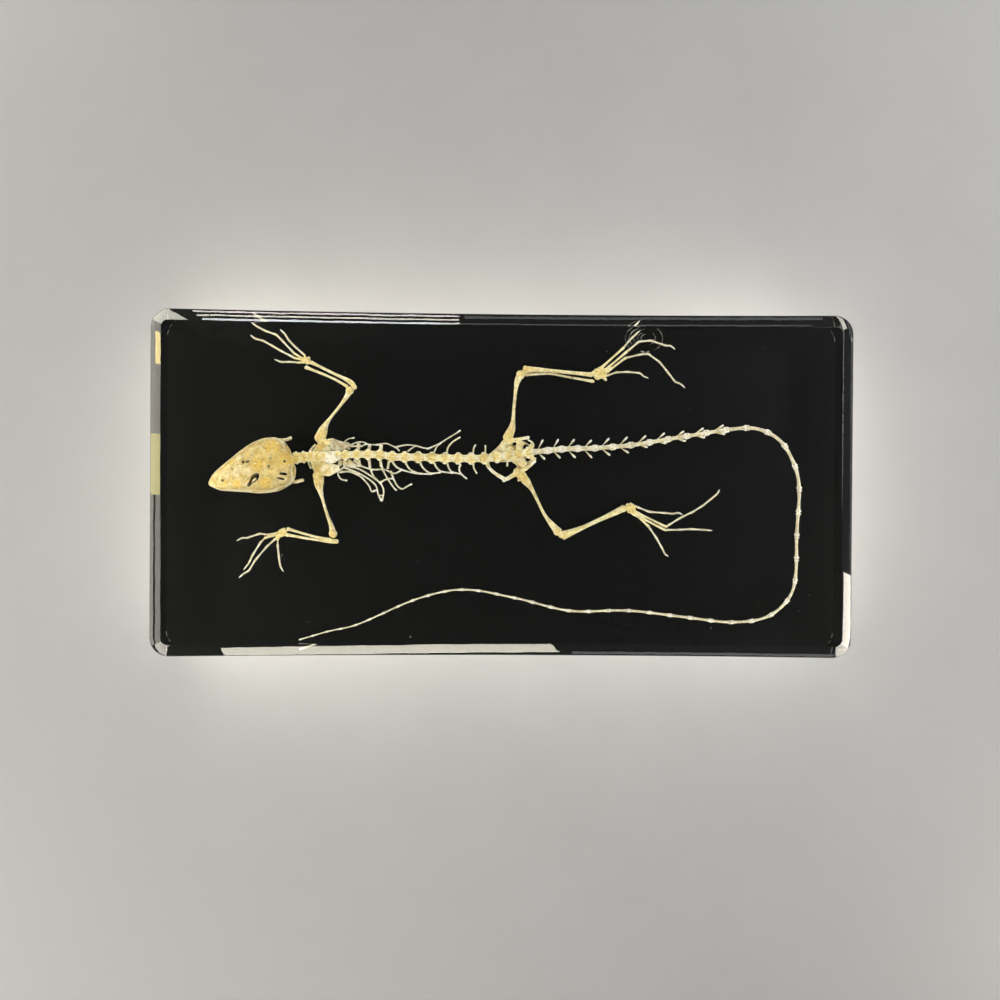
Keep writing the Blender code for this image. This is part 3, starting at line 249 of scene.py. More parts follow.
# Short necks that join the chest's vertebrae to the ribs below them, each with its width
NECKS_LEFT = (
    ((-47.5, 6.9), (-47.7, 5.2), 1.3), ((-46.7, 6.8), (-44.6, 5.0), 1.1),
    ((-45.2, 7.0), (-42.9, 5.1), 1.1), ((-43.6, 7.1), (-41.5, 5.3), 1.0),
    ((-46.2, 7.0), (-46.4, 5.5), 1.5), ((-44.8, 7.0), (-44.5, 4.9), 1.4),
    ((-42.3, 7.2), (-42.0, 5.0), 1.3), ((-39.2, 7.3), (-38.9, 4.6), 1.0),
    ((-35.9, 7.1), (-35.6, 5.0), 1.0), ((-33.4, 6.9), (-33.8, 4.4), 0.8),
    ((-36.6, -3.2), (-35.2, -3.3), 0.5),
)
NECKS_RIGHT = (
    ((-45.0, 9.9), (-45.2, 11.2), 1.1), ((-42.3, 10.0), (-42.2, 11.9), 1.3),
    ((-39.2, 10.0), (-39.0, 11.6), 1.2), ((-35.8, 10.0), (-35.7, 11.5), 1.3),
    ((-45.4, 10.9), (-41.2, 11.1), 0.55),
)
LOIN_RIBS = (
    ((-16.6, 8.4), (-16.4, 10.6), (-15.1, 12.4), (-12.7, 14.0)),
    ((-9.0, 8.4), (-8.8, 10.7), (-8.2, 11.8)), ((-5.4, 8.4), (-5.4, 11.7)),
    ((-9.0, 7.2), (-8.7, 4.9), (-7.8, 3.2)), ((1.2, 8.0), (1.1, 6.4), (1.0, 5.4)),
)

# Long bones: widths and heights at even steps, then the points along each
HUMERUS = ((3.1, 2.8, 1.6, 0.95, 0.8, 0.85, 1.0, 1.5, 2.1), (1.6, 1.6, 1.2, 0.9, 0.85, 0.9, 1.05, 1.4, 1.4))
ULNA = ((1.3, 1.4, 0.95, 0.8, 0.8, 0.8, 1.1), (1.2, 1.1, 0.85, 0.75, 0.75, 0.8, 1.0))
RADIUS = ((0.95, 0.8, 0.7, 0.7, 0.7, 0.8, 1.1), (0.95, 0.8, 0.7, 0.7, 0.7, 0.8, 0.9))
FEMUR = ((2.7, 2.3, 1.25, 0.92, 0.86, 0.9, 1.1, 1.8, 2.2), (1.7, 1.6, 1.2, 1.0, 0.95, 1.0, 1.2, 1.6, 1.6))
TIBIA = ((2.3, 1.6, 1.15, 1.05, 1.0, 1.1, 1.4), (1.9, 1.5, 1.1, 1.0, 1.0, 1.0, 1.2))
FIBULA = ((0.9, 0.75, 0.65, 0.6, 0.65, 0.75, 1.0), (0.9, 0.75, 0.65, 0.6, 0.65, 0.75, 0.95))
LIMB_BONES = (
    ("humerus_right",
     ((-53.3, 14.2, 10.4), (-52.6, 16.2, 10.0), (-51.4, 18.4, 9.9), (-48.1, 22.7, 9.7),
      (-45.9, 25.9, 9.6), (-44.93, 27.9, 9.6)),
     HUMERUS),
    ("ulna_right", ((-43.85, 28.4, 9.7), (-44.9, 29.8, 9.7), (-50.1, 32.4, 9.6), (-56.1, 35.35, 9.3)),
     ULNA),
    ("radius_right", ((-46.35, 28.8, 9.5), (-50.3, 30.95, 9.6), (-57.65, 33.9, 9.3)), RADIUS),
    ("humerus_left",
     ((-54.0, 1.55, 10.3), (-53.9, -0.4, 10.1), (-53.4, -2.6, 9.9), (-51.6, -8.9, 9.7),
      (-50.3, -12.4, 9.6), (-49.7, -15.15, 9.6)),
     HUMERUS),
    ("ulna_left", ((-49.0, -16.8, 9.0), (-55.6, -16.2, 9.2), (-63.0, -15.0, 9.2)), ULNA),
    ("radius_left", ((-51.0, -16.2, 10.3), (-55.9, -15.2, 10.0), (-62.65, -13.3, 9.4)), RADIUS),
    ("femur_right",
     ((1.5, 14.75, 10.3), (2.5, 17.4, 10.0), (3.0, 23.8, 9.8), (3.8, 30.2, 9.6), (5.05, 33.05, 9.6)),
     FEMUR),
    ("tibia_right", ((6.2, 34.0, 9.6), (9.8, 34.0, 9.6), (15.2, 33.6, 9.6), (25.5, 32.75, 9.3)), TIBIA),
    ("fibula_right", ((6.75, 32.65, 8.1), (13.3, 32.95, 8.3), (18.4, 32.1, 8.6), (25.9, 30.85, 8.9)),
     FIBULA),
    ("femur_left", ((5.6, 2.4, 10.3), (8.3, -1.1, 10.0), (12.2, -8.7, 9.8), (16.4, -13.95, 9.6)), FEMUR),
    ("tibia_left", ((18.3, -14.3, 9.6), (24.3, -11.9, 9.6), (35.2, -6.4, 9.3)), TIBIA),
    ("fibula_left", ((18.3, -15.4, 8.1), (26.3, -11.4, 8.3), (35.6, -7.2, 8.7)), FIBULA),
)
JOINT_REACH = 0.8  # gristle that bridges the gap between neighbouring bones
UPPER_END_REACH = -0.1  # upper arms and thighs end a little short instead
KNEE_SHIFT = (-0.3, 0.15, 0.0)  # of the left knee's middle from the end of the shin
KNEE_RADII = (1.05, 1.05, 0.85)

# Each digit: root in plan, lengths of its bones from the root to the claw, and their headings in degrees
FINGERS_RIGHT = (
    ((-58.9, 38.0), (3.4, 2.5, 2.1, 2.0), (138, 135, 121, 137)),
    ((-61.9, 38.6), (4.6, 2.3, 3.5, 2.8, 1.9), (134, 135, 161, 152, 144)),
    ((-61.8, 37.0), (4.4, 2.1, 3.3, 2.6, 1.7), (153, 149, 151, 166, 140)),
    ((-61.0, 35.5), (2.0, 2.3, 2.2), (175, 183, 158)),
)
FINGERS_LEFT = (
    ((-69.4, -14.9), (1.8, 4.0, 1.5, 1.8), (172, 199, 180, 209)),
    ((-69.9, -16.3), (1.1, 4.7, 2.5, 2.6), (223, 238, 246, 232)),
    ((-67.4, -16.8), (2.2, 5.6, 3.4, 1.8, 2.0), (222, 230, 240, 209, 223)),
    ((-66.0, -16.9), (1.0, 4.4, 1.8, 2.1), (268, 276, 279, 299)),
)
TOES_RIGHT = (
    ((35.5, 41.2), (2.0, 2.1, 2.6), (52, 45, 43)),
    ((36.5, 39.9), (4.2, 3.6, 4.8, 1.2, 1.9), (40, 6, -18, 5, -39)),
    ((36.4, 37.9), (3.8, 2.5, 4.2, 4.0, 3.4, 1.5, 2.1), (14, 5, -35, -51, -52, -16, -41)),
    ((31.4, 32.9), (1.7, 3.4, 3.9, 1.3, 1.7), (20, 3, -5, -45, -20)),
)
TOES_LEFT = (
    ((39.5, -6.2), (3.8, 5.2, 1.7, 1.8, 1.4), (-21, -4, -7, 12, -25)),
    ((48.7, -11.6), (4.6, 3.8, 3.6, 3.8, 1.7, 1.5), (32, 25, 32, 39, 40, 62)),
    ((48.5, -12.9), (4.0, 3.0, 4.4, 2.2), (1, 4, -3, -5)),
    ((43.3, -12.4), (3.4, 3.9, 1.7, 1.3), (-55, -60, -65, -32)),
)
# Wrists and ankles: middle, radii and turn of the small bones' mass, where each palm bone starts, the
# spur's tip, and how far each digit is raised
CARPUS_RIGHT = (
    (-57.9, 36.0, 9.2), (1.5, 1.0, 0.8), 150.0,
    ((-58.2, 36.5), (-58.6, 36.3), (-58.5, 36.1), (-58.3, 35.6)), (-56.9, 37.1), (0.0, 0.0, 0.5, 0.0),
)
CARPUS_LEFT = (
    (-64.6, -14.3, 9.2), (1.5, 1.1, 0.8), 20.0,
    ((-65.0, -14.2), (-65.2, -14.7), (-65.2, -14.9), (-65.0, -15.0)), (-63.9, -12.9),
    (0.0, 1.1, 0.0, 0.0),
)
TARSUS_RIGHT = (
    (28.1, 33.2, 9.2), (2.4, 1.7, 1.0), 20.0, ((28.0, 34.2), (29.0, 33.5), (30.0, 33.4), (29.4, 32.2)),
    (30.2, 31.0), (0.0, 0.0, 0.0, 0.0),
)
TARSUS_LEFT = (
    (37.4, -6.6, 9.2), (1.8, 1.4, 1.0), -30.0, ((37.6, -5.6), (38.4, -7.4), (38.0, -8.0), (38.6, -7.9)),
    (37.6, -4.9), (0.9, 0.0, 0.0, 0.0),
)
FEET = (
    ("finger_right", "carpus_right", FINGERS_RIGHT, CARPUS_RIGHT),
    ("finger_left", "carpus_left", FINGERS_LEFT, CARPUS_LEFT),
    ("toe_right", "tarsus_right", TOES_RIGHT, TARSUS_RIGHT),
    ("toe_left", "tarsus_left", TOES_LEFT, TARSUS_LEFT),
)
DIGIT_LEVEL = 9.0
KNUCKLE_RADIUS = 0.42
PHALANX_RADIUS = 0.25
DIGIT_FALL = 0.12
PEBBLES = 9  # small bones in each wrist and ankle

# Girdles. Each shoulder's socket, the root of its blade, and its arm towards the breastbone
SHOULDERS = {
    "shoulder_right": ((-53.0, 12.3, 10.1), ((-52.6, 12.3, 10.6), (-50.2, 12.0, 12.4)),
                       ((-52.9, 11.9, 9.9), (-53.6, 9.6, 9.75))),
    "shoulder_left": ((-53.8, 3.2, 10.1), ((-53.5, 3.5, 10.6), (-52.2, 4.2, 12.2)),
                      ((-53.9, 3.6, 9.9), (-53.4, 6.7, 9.75))),
}
BREAST_PLATE = ((-54.6, 8.1, 8.9), (-51.0, 8.1, 8.7), (-47.4, 8.0, 8.7))
BREAST_NECK = (-54.0, 8.1, 8.9)
BREAST_FRONT = (-57.2, 8.0, 9.4)
COLLAR_RODS = (((-56.5, 9.8, 9.8), (-54.9, 11.6, 10.4)), ((-57.0, 6.2, 9.8), (-56.2, 4.4, 10.4)))
# Each hip bone's socket, ilium, pubis and its widths, the ischium's middle, and holes in its plate
HIPS = {
    "pelvis_right": (
        (1.4, 12.9, 10.3), ((1.9, 12.95, 10.8), (4.4, 13.4, 12.0), (7.5, 14.0, 12.9)),
        ((1.1, 12.2, 10.0), (-0.5, 10.5, 9.6), (-2.4, 9.2, 9.2), (-4.5, 8.45, 8.9)),
        (2.6, 2.6, 2.6, 2.5, 2.3, 2.0, 1.5, 1.0), (3.6, 10.6, 9.2),
        (((3.1, 12.2), 0.6), ((6.5, 11.3), 0.75))),
    "pelvis_left": (
        (4.3, 3.9, 10.3), ((4.8, 4.1, 10.9), (7.2, 5.4, 12.0), (9.3, 7.2, 12.9)),
        ((3.7, 3.5, 10.0), (1.0, 1.85, 9.7), (0.2, 1.85, 9.6), (-3.3, 4.1, 9.2), (-4.6, 5.7, 9.0),
         (-4.8, 7.3, 8.9)),
        (1.6, 1.3, 1.3, 1.2, 1.0, 1.0, 1.1, 1.3), (5.1, 6.0, 9.2),
        (((7.1, 7.6), 0.6), ((9.1, 8.5), 0.45), ((4.7, 7.2), 0.4))),
}

# Corners of the girdles' thin plates
CORACOID_RIGHT = (
    (-56.4, 9.0, 10.0), (-55.4, 10.2, 10.2), (-54.4, 11.6, 10.3), (-54.0, 12.4, 10.5),
    (-51.5, 12.8, 11.2), (-50.9, 11.2, 11.4), (-49.8, 9.6, 11.6), (-51.2, 8.6, 11.4), (-53.0, 8.3, 10.6),
)
CORACOID_LEFT = (
    (-56.6, 7.1, 10.0), (-56.0, 5.0, 10.1), (-55.4, 3.6, 10.3), (-52.4, 3.6, 10.8), (-51.6, 5.6, 11.2),
    (-52.6, 7.4, 10.8),
)
BLADE_RIGHT = (
    (-51.0, 12.9, 12.3), (-49.3, 13.0, 12.9), (-47.0, 12.3, 13.4), (-44.5, 11.7, 13.6),
    (-45.3, 10.7, 13.6), (-46.8, 9.8, 13.5), (-48.8, 9.2, 13.2), (-50.0, 10.2, 12.9), (-50.4, 11.6, 12.6),
)
BLADE_LEFT = (
    (-53.3, 3.0, 11.6), (-51.0, 2.7, 12.3), (-49.2, 3.4, 12.7), (-47.6, 4.2, 12.8), (-47.8, 5.4, 12.9),
    (-49.8, 5.8, 13.0), (-51.6, 6.0, 12.6), (-52.8, 5.2, 12.0),
)
HIP_PLATE_RIGHT = (
    (-4.9, 8.5, 9.3), (-3.4, 9.8, 9.5), (-1.4, 11.6, 9.9), (-0.5, 13.0, 10.2), (1.4, 13.9, 10.3),
    (4.2, 13.4, 10.3), (6.2, 12.7, 10.2), (7.8, 11.8, 10.0), (8.8, 10.6, 9.8), (8.4, 9.4, 9.6),
    (6.0, 8.9, 9.4), (2.0, 8.3, 9.2), (-1.5, 7.9, 9.1),
)
HIP_PLATE_LEFT = (
    (-4.6, 7.0, 9.1), (-0.9, 6.8, 9.2), (2.4, 6.9, 9.3), (3.9, 5.8, 9.8), (4.0, 4.4, 10.2),
    (5.8, 4.6, 10.2), (7.8, 6.0, 10.0), (9.6, 7.6, 9.8), (9.6, 9.0, 9.5), (6.0, 8.5, 9.3),
    (2.0, 7.8, 9.1), (-2.0, 7.6, 9.0),
)
# Bars from the sacral vertebrae to the ilia, with their widths
SACRAL_WINGS = (
    (((1.2, 9.2, 12.0), (1.9, 10.4, 11.6), (2.4, 11.1, 11.2)), (2.2, 2.2, 1.6)),
    (((4.4, 9.2, 12.1), (4.5, 11.2, 12.1), (4.9, 12.9, 12.0)), (2.2, 1.7, 2.6)),
    (((7.2, 9.7, 11.8), (7.9, 11.2, 11.9), (8.6, 12.0, 11.9)), (1.8, 1.3, 1.6)),
    (((3.8, 9.0, 12.1), (5.0, 7.0, 12.0), (6.4, 5.6, 11.8)), (2.6, 2.4, 2.0)),
    (((7.4, 9.4, 11.8), (8.3, 8.2, 11.8), (8.9, 7.4, 12.0)), (1.7, 1.1, 1.5)),
    (((1.0, 8.6, 12.2), (-0.4, 10.6, 11.4), (-0.1, 12.4, 10.6)), (2.2, 2.2, 1.4)),
    (((0.0, 8.4, 12.2), (2.4, 8.0, 12.2), (4.0, 7.4, 12.0)), (2.2, 2.4, 1.6)),
)

# What only one bone has. Bars: points, widths and, where they differ, heights. Balls: middle, half
# lengths and turn. Plates: corners and thickness. Patches: place, radius, and tone, chalky below 0
OWN_BARS = {
    "spine_neck": (
        (((-61.2, 7.3, 13.8), (-59.4, 7.5, 13.7), (-56.6, 7.8, 13.6), (-53.5, 8.0, 13.6)),
         (3.6, 3.1, 2.7, 2.6, 2.6), (1.0, 1.0, 1.0)),),
    "sacrum": tuple((line, widths, (1.3, 1.1, 1.0)) for line, widths in SACRAL_WINGS),
    "shoulder_right": ((((-51.6, 12.6, 11.9), (-50.0, 13.0, 12.6), (-48.3, 12.6, 13.1)), (0.6, 0.5, 0.3)),),
    "shoulder_left": (
        (((-52.8, 2.9, 11.9), (-50.9, 2.5, 12.5), (-49.0, 3.3, 12.7), (-47.5, 4.2, 12.8)),
         (0.5, 0.5, 0.45, 0.4)),),
    "pelvis_right": (
        (((6.9, 13.3, 12.2), (8.2, 12.6, 12.1), (8.8, 11.4, 11.4)), (0.55, 0.6, 0.6), (0.8, 0.7, 0.6)),),
    "pelvis_left": ((((1.0, 7.1, 11.0), (1.05, 5.5, 10.9)), (0.5, 0.6)),
                    (((4.6, 2.0, 10.0), (4.4, 1.1, 10.0)), (0.9, 0.7))),
}
OWN_BALLS = {
    "spine_neck": (((-49.9, 7.2, 14.2), (2.0, 1.35, 0.5), 10),),
    "pelvis_left": (((0.3, 1.5, 9.8), (0.75, 0.6, 0.6), 30),),
}
OWN_PLATES = {
    "shoulder_right": ((CORACOID_RIGHT, 0.8),),
    "shoulder_left": ((CORACOID_LEFT, 0.8), (BLADE_LEFT, 0.45)),
    "pelvis_right": ((HIP_PLATE_RIGHT, 0.8),),
    "pelvis_left": ((HIP_PLATE_LEFT, 0.8),),
}
OWN_PATCHES = {
    "spine_neck": (((-49.9, 7.2, 14.3), 2.4, -1.5), ((-58.5, 7.6, 14.4), 2.6, 0.5),
                   ((-54.8, 8.0, 14.2), 2.6, 0.5)),
    "sacrum": (((3.5, 9.0, 13.2), 2.0, 0.4),),
    "shoulder_right": (((-51.3, 10.2, 11.6), 1.3, -0.5),),
    "shoulder_left": (((-52.6, 4.6, 12.0), 1.3, -0.5), ((-49.0, 4.4, 12.9), 2.0, -0.5)),
    "pelvis_right": (((1.0, 12.0, 10.6), 1.3, -0.6),),
    "pelvis_left": (((0.3, 1.5, 10.0), 1.9, -1.4), ((-3.4, 4.2, 9.3), 1.8, -0.8),
                    ((1.05, 5.5, 10.9), 0.9, -1.0)),
}

# A swirl of rings in the casting by the right hind foot, and small bubbles elsewhere
SWIRL_CENTRE = (40.4, 42.4, 20.0)
SWIRL_RADII = (5.6, 4.1)
SWIRL_RINGS = 7
SWIRL_ARCS = ((95, 235), (110, 220), (-60, 50))
SWIRL_TAIL = ((41.6, 38.9, 18.0), (40.5, 38.2, 18.0), (39.2, 38.9, 18.0))
BUBBLES = 16

# Bone finishes: deep, middle and pale shades, then amber and chalky patches, then the colour of painted
# highlights on edges and sides
BONE_SHADES = {
    "mottled_skull": ((0.5, 0.36, 0.09), (0.69, 0.54, 0.2), (0.86, 0.74, 0.38),
                      (0.82, 0.57, 0.11), (0.88, 0.77, 0.5), (0.98, 0.92, 0.68)),
    "cream_bone": ((0.62, 0.5, 0.18), (0.84, 0.74, 0.36), (0.96, 0.9, 0.6),
                   (0.78, 0.6, 0.17), (0.95, 0.91, 0.74), (1.0, 0.98, 0.8)),
    "grey_gristle": ((0.34, 0.29, 0.17), (0.52, 0.46, 0.3), (0.7, 0.64, 0.46),
                     (0.55, 0.44, 0.2), (0.76, 0.7, 0.56), (0.82, 0.77, 0.58)),
    "pale_bone": ((0.5, 0.46, 0.3), (0.75, 0.71, 0.5), (0.93, 0.91, 0.74),
                  (0.66, 0.53, 0.22), (0.96, 0.94, 0.86), (0.97, 0.95, 0.84)),
}
ACRYLIC_IOR = 1.49
# Scales of the noises in the bones' colour
BROAD_GRAIN = 420.0
RAGGED_GRAIN = 900.0
MOTTLED_GRAIN = 1150.0
FINE_GRAIN = 2600.0

# Lamps: place, the place that each faces, length and height, watts and colour. The strips and panels
# only show in the polish of the block; one is rolled about its own axis, by the degrees that come last
WARM = (1.0, 0.94, 0.82)
COOL = (0.95, 0.97, 1.0)
MIDDLE = (0.0, 0.0, 12.0)
MIRRORED_LAMPS = (
    ("left_strip", (-270, 0, 81), MIDDLE, (260, 37), 0.13, WARM),
    ("left_gap_strip", (-270, 63, 58), (0, 63, 12), (133, 9), 0.0165, WARM),
    ("left_low_strip", (-270, 0, 42), MIDDLE, (260, 23), 0.09, WARM),
    ("left_glow", (-266, 64.5, 72), MIDDLE, (15, 26), 0.016, (1.0, 0.76, 0.22)),
    ("left_patch", (-266, 10.5, 66), MIDDLE, (28, 55), 0.028, (1.0, 0.86, 0.16)),
    ("far_left_panel", (-219.5, 190, 75), MIDDLE, (162, 110), 0.6, (1.0, 0.98, 0.84)),
    ("near_left_panel", (-222, -187, 92), MIDDLE, (150, 80), 0.36, WARM),
    ("near_right_panel", (237, -172, 70), MIDDLE, (130, 110), 0.5, WARM),
    ("far_right_panel", (222, 187, 62), MIDDLE, (150, 22), 0.1, WARM),
    ("right_strip", (290, -86, 54), MIDDLE, (94, 42), 0.19, WARM),
    ("right_dim_strip", (290, 50, 38), MIDDLE, (250, 9), 0.008, COOL),
    ("near_strip", (-52, -240, 100), (-52, 0, 12), (170, 40), 0.3, (1.0, 0.95, 0.8), 5.5),
    ("near_dim_strip", (140, -240, 85), (140, 0, 12), (200, 12), 0.015, COOL),
    ("far_dim_strip", (75, 240, 84), (75, 0, 12), (180, 12), 0.01, COOL),
    ("far_dull_strip", (60, 240, 118), (60, 0, 12), (210, 6), 0.006, COOL),
    ("far_strip", (-84, 240, 80), (-84, 0, 12), (132, 7), 0.045, (1.0, 0.92, 0.9)),
    ("far_middle_strip", (-84, 240, 98), (-84, 0, 12), (132, 7), 0.045, WARM),
    ("far_upper_strip", (-84, 240, 118), (-84, 0, 12), (132, 9), 0.06, COOL),
)
SOFTBOXES = (
    ("left_softbox", (-480, -220, 420), MIDDLE, (420, 300), 1.78, (1.0, 0.97, 0.92)),
    ("right_softbox", (470, 200, 430), MIDDLE, (420, 300), 1.74, (0.97, 0.98, 1.0)),
)
SKY_STRENGTH = 0.26
SKY_STOPS = ((0.0, (0.75, 0.75, 0.74)), (0.25, (0.5, 0.5, 0.5)), (0.85, (0.03, 0.034, 0.034)))

draws = random.Random(7)


def smooth(stations, values, place):
    """value at a place among stations, on a curve that passes through all of them"""
    last = len(stations) - 1
    span = 0
    while span < last - 1 and place > stations[span + 1]:
        span += 1
    width = stations[span + 1] - stations[span]
    share = min(max((place - stations[span]) / width, 0.0), 1.0)

    def slope(index):
        before = max(index - 1, 0)
        after = min(index + 1, last)
        return (values[after] - values[before]) / (stations[after] - stations[before])

    square = share * share
    cube = square * share
    return ((2 * cube - 3 * square + 1) * values[span] + (cube - 2 * square + share) * width * slope(span)
            + (3 * square - 2 * cube) * values[span + 1] + (cube - square) * width * slope(span + 1))


def even_marks(values, length=1.0):
    return [length * index / (len(values) - 1) for index in range(len(values))]


def spread_places(pitches, length):
    """places along a route where bones of these pitches meet, scaled so that they fill its length"""
    places = [0.0]
    for pitch in pitches:
        places.append(places[-1] + pitch)
    return [place * length / places[-1] for place in places]


class Route:
    """a smooth curve through a few points, read by the length along it"""

    def __init__(self, points):
        self.points = [Vector(point) for point in points]
        self.lengths = [0.0]
        for before, after in zip(self.points, self.points[1:]):
            self.lengths.append(self.lengths[-1] + (after - before).length)
        self.length = self.lengths[-1]

    def at(self, along):
        return Vector([smooth(self.lengths, [point[axis] for point in self.points], along)
                       for axis in range(3)])

    def axes(self, along):
        """the place there, and unit vectors along the curve, across it in plan, and up from it"""
        step = 0.05
        behind = self.at(max(along - step, 0.0))
        heading = (self.at(min(along + step, self.length)) - behind).normalized()
        across = Vector((-heading.y, heading.x, 0.0)).normalized()
        return self.at(along), heading, across, heading.cross(across)


class Form:
    """closed shapes that overlap, gathered to be fused into one bone or group of bones"""

    def __init__(self):
        self.mesh = bmesh.new()
        self.spots = []

    def skin_rings(self, rings):
        loops = [[self.mesh.verts.new(point) for point in ring] for ring in rings]
        count = len(rings[0])
        for before, after in zip(loops, loops[1:]):
            for index in range(count):
                following = (index + 1) % count
                self.mesh.faces.new((before[index], before[following], after[following], after[index]))
        self.mesh.faces.new(reversed(loops[0]))
        self.mesh.faces.new(loops[-1])

    def bar(self, points, widths, heights=None, sides=12, spacing=0.3):
        """a bar of elliptical section with round ends; widths and heights lie at even steps along it"""
        route = Route(points)
        heights = heights or widths
        width_marks = even_marks(widths, route.length)
        height_marks = even_marks(heights, route.length)
        rings = []
        for along, share in bar_stations(route.length, min(widths[0], heights[0]) / 2,
                                         min(widths[-1], heights[-1]) / 2, spacing):
            place, _, across, upward = route.axes(along)
            half_width = smooth(width_marks, widths, along) * share / 2
            half_height = smooth(height_marks, heights, along) * share / 2
            turns = [2 * math.pi * step / sides for step in range(sides)]
            rings.append([place + across * (math.cos(turn) * half_width)
                          + upward * (math.sin(turn) * half_height) for turn in turns])
        self.skin_rings(rings)

    def ball(self, centre, radii, turn=0.0):
        made = bmesh.ops.create_icosphere(self.mesh, subdivisions=3, radius=1.0)["verts"]
        bmesh.ops.scale(self.mesh, vec=radii, verts=made)
        bmesh.ops.rotate(self.mesh, matrix=Matrix.Rotation(math.radians(turn), 3, "Z"), verts=made)
        bmesh.ops.translate(self.mesh, vec=centre, verts=made)

    def plate(self, corners, thickness):
        """a thin plate with the given corners, level or sloping"""
        top = [self.mesh.verts.new(raised(corner, thickness / 2)) for corner in corners]
        foot = [self.mesh.verts.new(raised(corner, -thickness / 2)) for corner in corners]
        for index in range(len(corners)):
            self.mesh.faces.new((top[index - 1], top[index], foot[index], foot[index - 1]))
        for cap in (top, foot[::-1]):
            bmesh.ops.triangulate(self.mesh, faces=[self.mesh.faces.new(cap)])

    def spot(self, centre, radius, tone):
        """marks a patch of another colour: amber where the tone is above 0, chalky where it is below"""
        self.spots.append((Vector(centre), radius, tone))

    def finished_mesh(self, name):
        bmesh.ops.recalc_face_normals(self.mesh, faces=self.mesh.faces)
        mesh = bpy.data.meshes.new(name)
        self.mesh.to_mesh(mesh)
        self.mesh.free()
        return mesh


def bar_stations(length, first, last, spacing):
    """where a bar's rings lie, each with its share of the full section, which closes over round ends"""
    first = min(first, 0.45 * length)
    last = min(last, 0.45 * length)
    turns = [math.radians(angle) for angle in (8, 25, 45, 68)]
    stations = [(first * (1 - math.cos(turn)), math.sin(turn)) for turn in turns]
    between = length - first - last
    steps = max(1, math.ceil(between / spacing))
    stations += [(first + between * step / steps, 1.0) for step in range(steps + 1)]
    return stations + [(length - last * (1 - math.cos(turn)), math.sin(turn)) for turn in reversed(turns)]


def raised(point, lift):
    return Vector(point) + Vector((0.0, 0.0, lift))


def evaluated(holder):
    """the mesh that an object's modifiers give; the object itself is dropped"""
    depsgraph = bpy.context.evaluated_depsgraph_get()
    mesh = bpy.data.meshes.new_from_object(holder.evaluated_get(depsgraph))
    bpy.data.objects.remove(holder)
    return mesh


def linked(name, mesh):
    made = bpy.data.objects.new(name, mesh)
    bpy.context.scene.collection.objects.link(made)
    return made


def relaxed(points, edges, passes):
    """evens out a mesh's points without shrinking it, by turns of drawing in and letting out"""
    count = len(points)
    ends = np.concatenate((edges[:, 0], edges[:, 1]))
    others = np.concatenate((edges[:, 1], edges[:, 0]))
    number = np.bincount(ends, minlength=count)[:, None]
    for weight in (0.55, -0.57) * passes:
        mean = np.stack([np.bincount(ends, weights=points[others, axis], minlength=count)
                         for axis in range(3)], axis=1) / number
        points = points + weight * (mean - points)
    return points


def add_fuse(holder, voxel):
    fuse = holder.modifiers.new("fuse", "REMESH")
    fuse.mode = "VOXEL"
    fuse.voxel_size = voxel


def joined_mesh(name, form, voxel, cutters):
    """one closed mesh of all the shapes of a form, less those of its cutters"""
    holder = linked(name, form.finished_mesh(name))
    add_fuse(holder, voxel)
    if not cutters:
        return evaluated(holder)
    tool = linked("cutters", cutters.finished_mesh("cutters"))
    add_fuse(tool, voxel)
    cut = holder.modifiers.new("openings", "BOOLEAN")
    cut.operation = "DIFFERENCE"
    cut.object = tool
    cut.solver = "MANIFOLD"
    add_fuse(holder, voxel)
    mesh = evaluated(holder)
    bpy.data.objects.remove(tool)
    return mesh


def rows(items, field, width, kind=float):
    """one field of all the points or edges of a mesh, a row for each"""
    values = np.empty(len(items) * width, dtype=kind)
    items.foreach_get(field, values)
    return values.reshape(-1, width)


def store_tones(mesh, points, normals, spots):
    """stores how amber or chalky each point is, and how steep its side is, for a painted rim highlight"""
    tone = np.zeros(len(points))
    for centre, radius, strength in spots:
        far = np.linalg.norm(points - np.array(centre), axis=1) / radius
        tone += strength * np.clip(PATCH_STRENGTH * (1.0 - far * far), 0.0, 1.0)
    # Steep sides of the bones are painted paler: a painted rim highlight that stands in for light from low
    # lamps at the sides
    painted_rim_highlight = np.clip((RIM_HIGHLIGHT_START - np.abs(normals[:, 2])) / RIM_HIGHLIGHT_START, 0.0, 1.0)
    painted_rim_highlight *= 1.0 - 0.85 * np.clip(tone, 0.0, 1.0)
    for name, values in (("tone", np.clip(tone, -1.0, 1.0)), ("painted_rim_highlight", painted_rim_highlight)):
        mesh.attributes.new(name, "FLOAT", "POINT").data.foreach_set("value", values)


def fused(name, form, voxel, relief, passes=RELAXING, cutters=None):
    """one smooth skin round a form's shapes, with a faint natural relief and its colour patches"""
    mesh = joined_mesh(name, form, voxel, cutters)
    points = relaxed(rows(mesh.vertices, "co", 3), rows(mesh.edges, "vertices", 2, np.int64), passes)
    mesh.vertices.foreach_set("co", points.ravel())
    mesh.update()
    normals = rows(mesh.vertices, "normal", 3)
    lift = np.array([noise.fractal(Vector(point) / RELIEF_GRAIN, 0.9, 2.0, 3) for point in points])
    points += normals * (relief * lift)[:, None]
    mesh.vertices.foreach_set("co", (points * MM).ravel())
    store_tones(mesh, points, normals, form.spots)
    mesh.name = name
    mesh.shade_smooth()
    return linked(name, mesh)


def dress(piece, finish, slot, *nodes):
    """gives a piece its material and its body, and lets it stand for CAD nodes; the slot is not used"""
    piece.data.materials.clear()
    piece.data.materials.append(finish)
    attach(piece, BODY)
    if nodes:
        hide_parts(*nodes)


def make_bone(name, form, finish, slot, voxel=BONE_VOXEL, relief=BONE_RELIEF, passes=RELAXING,
              cutters=None):
    """fuses a form into the skin that stands for the bone of this name"""
    dress(fused(name + "_skin", form, voxel, relief, passes, cutters), finish, slot, name)


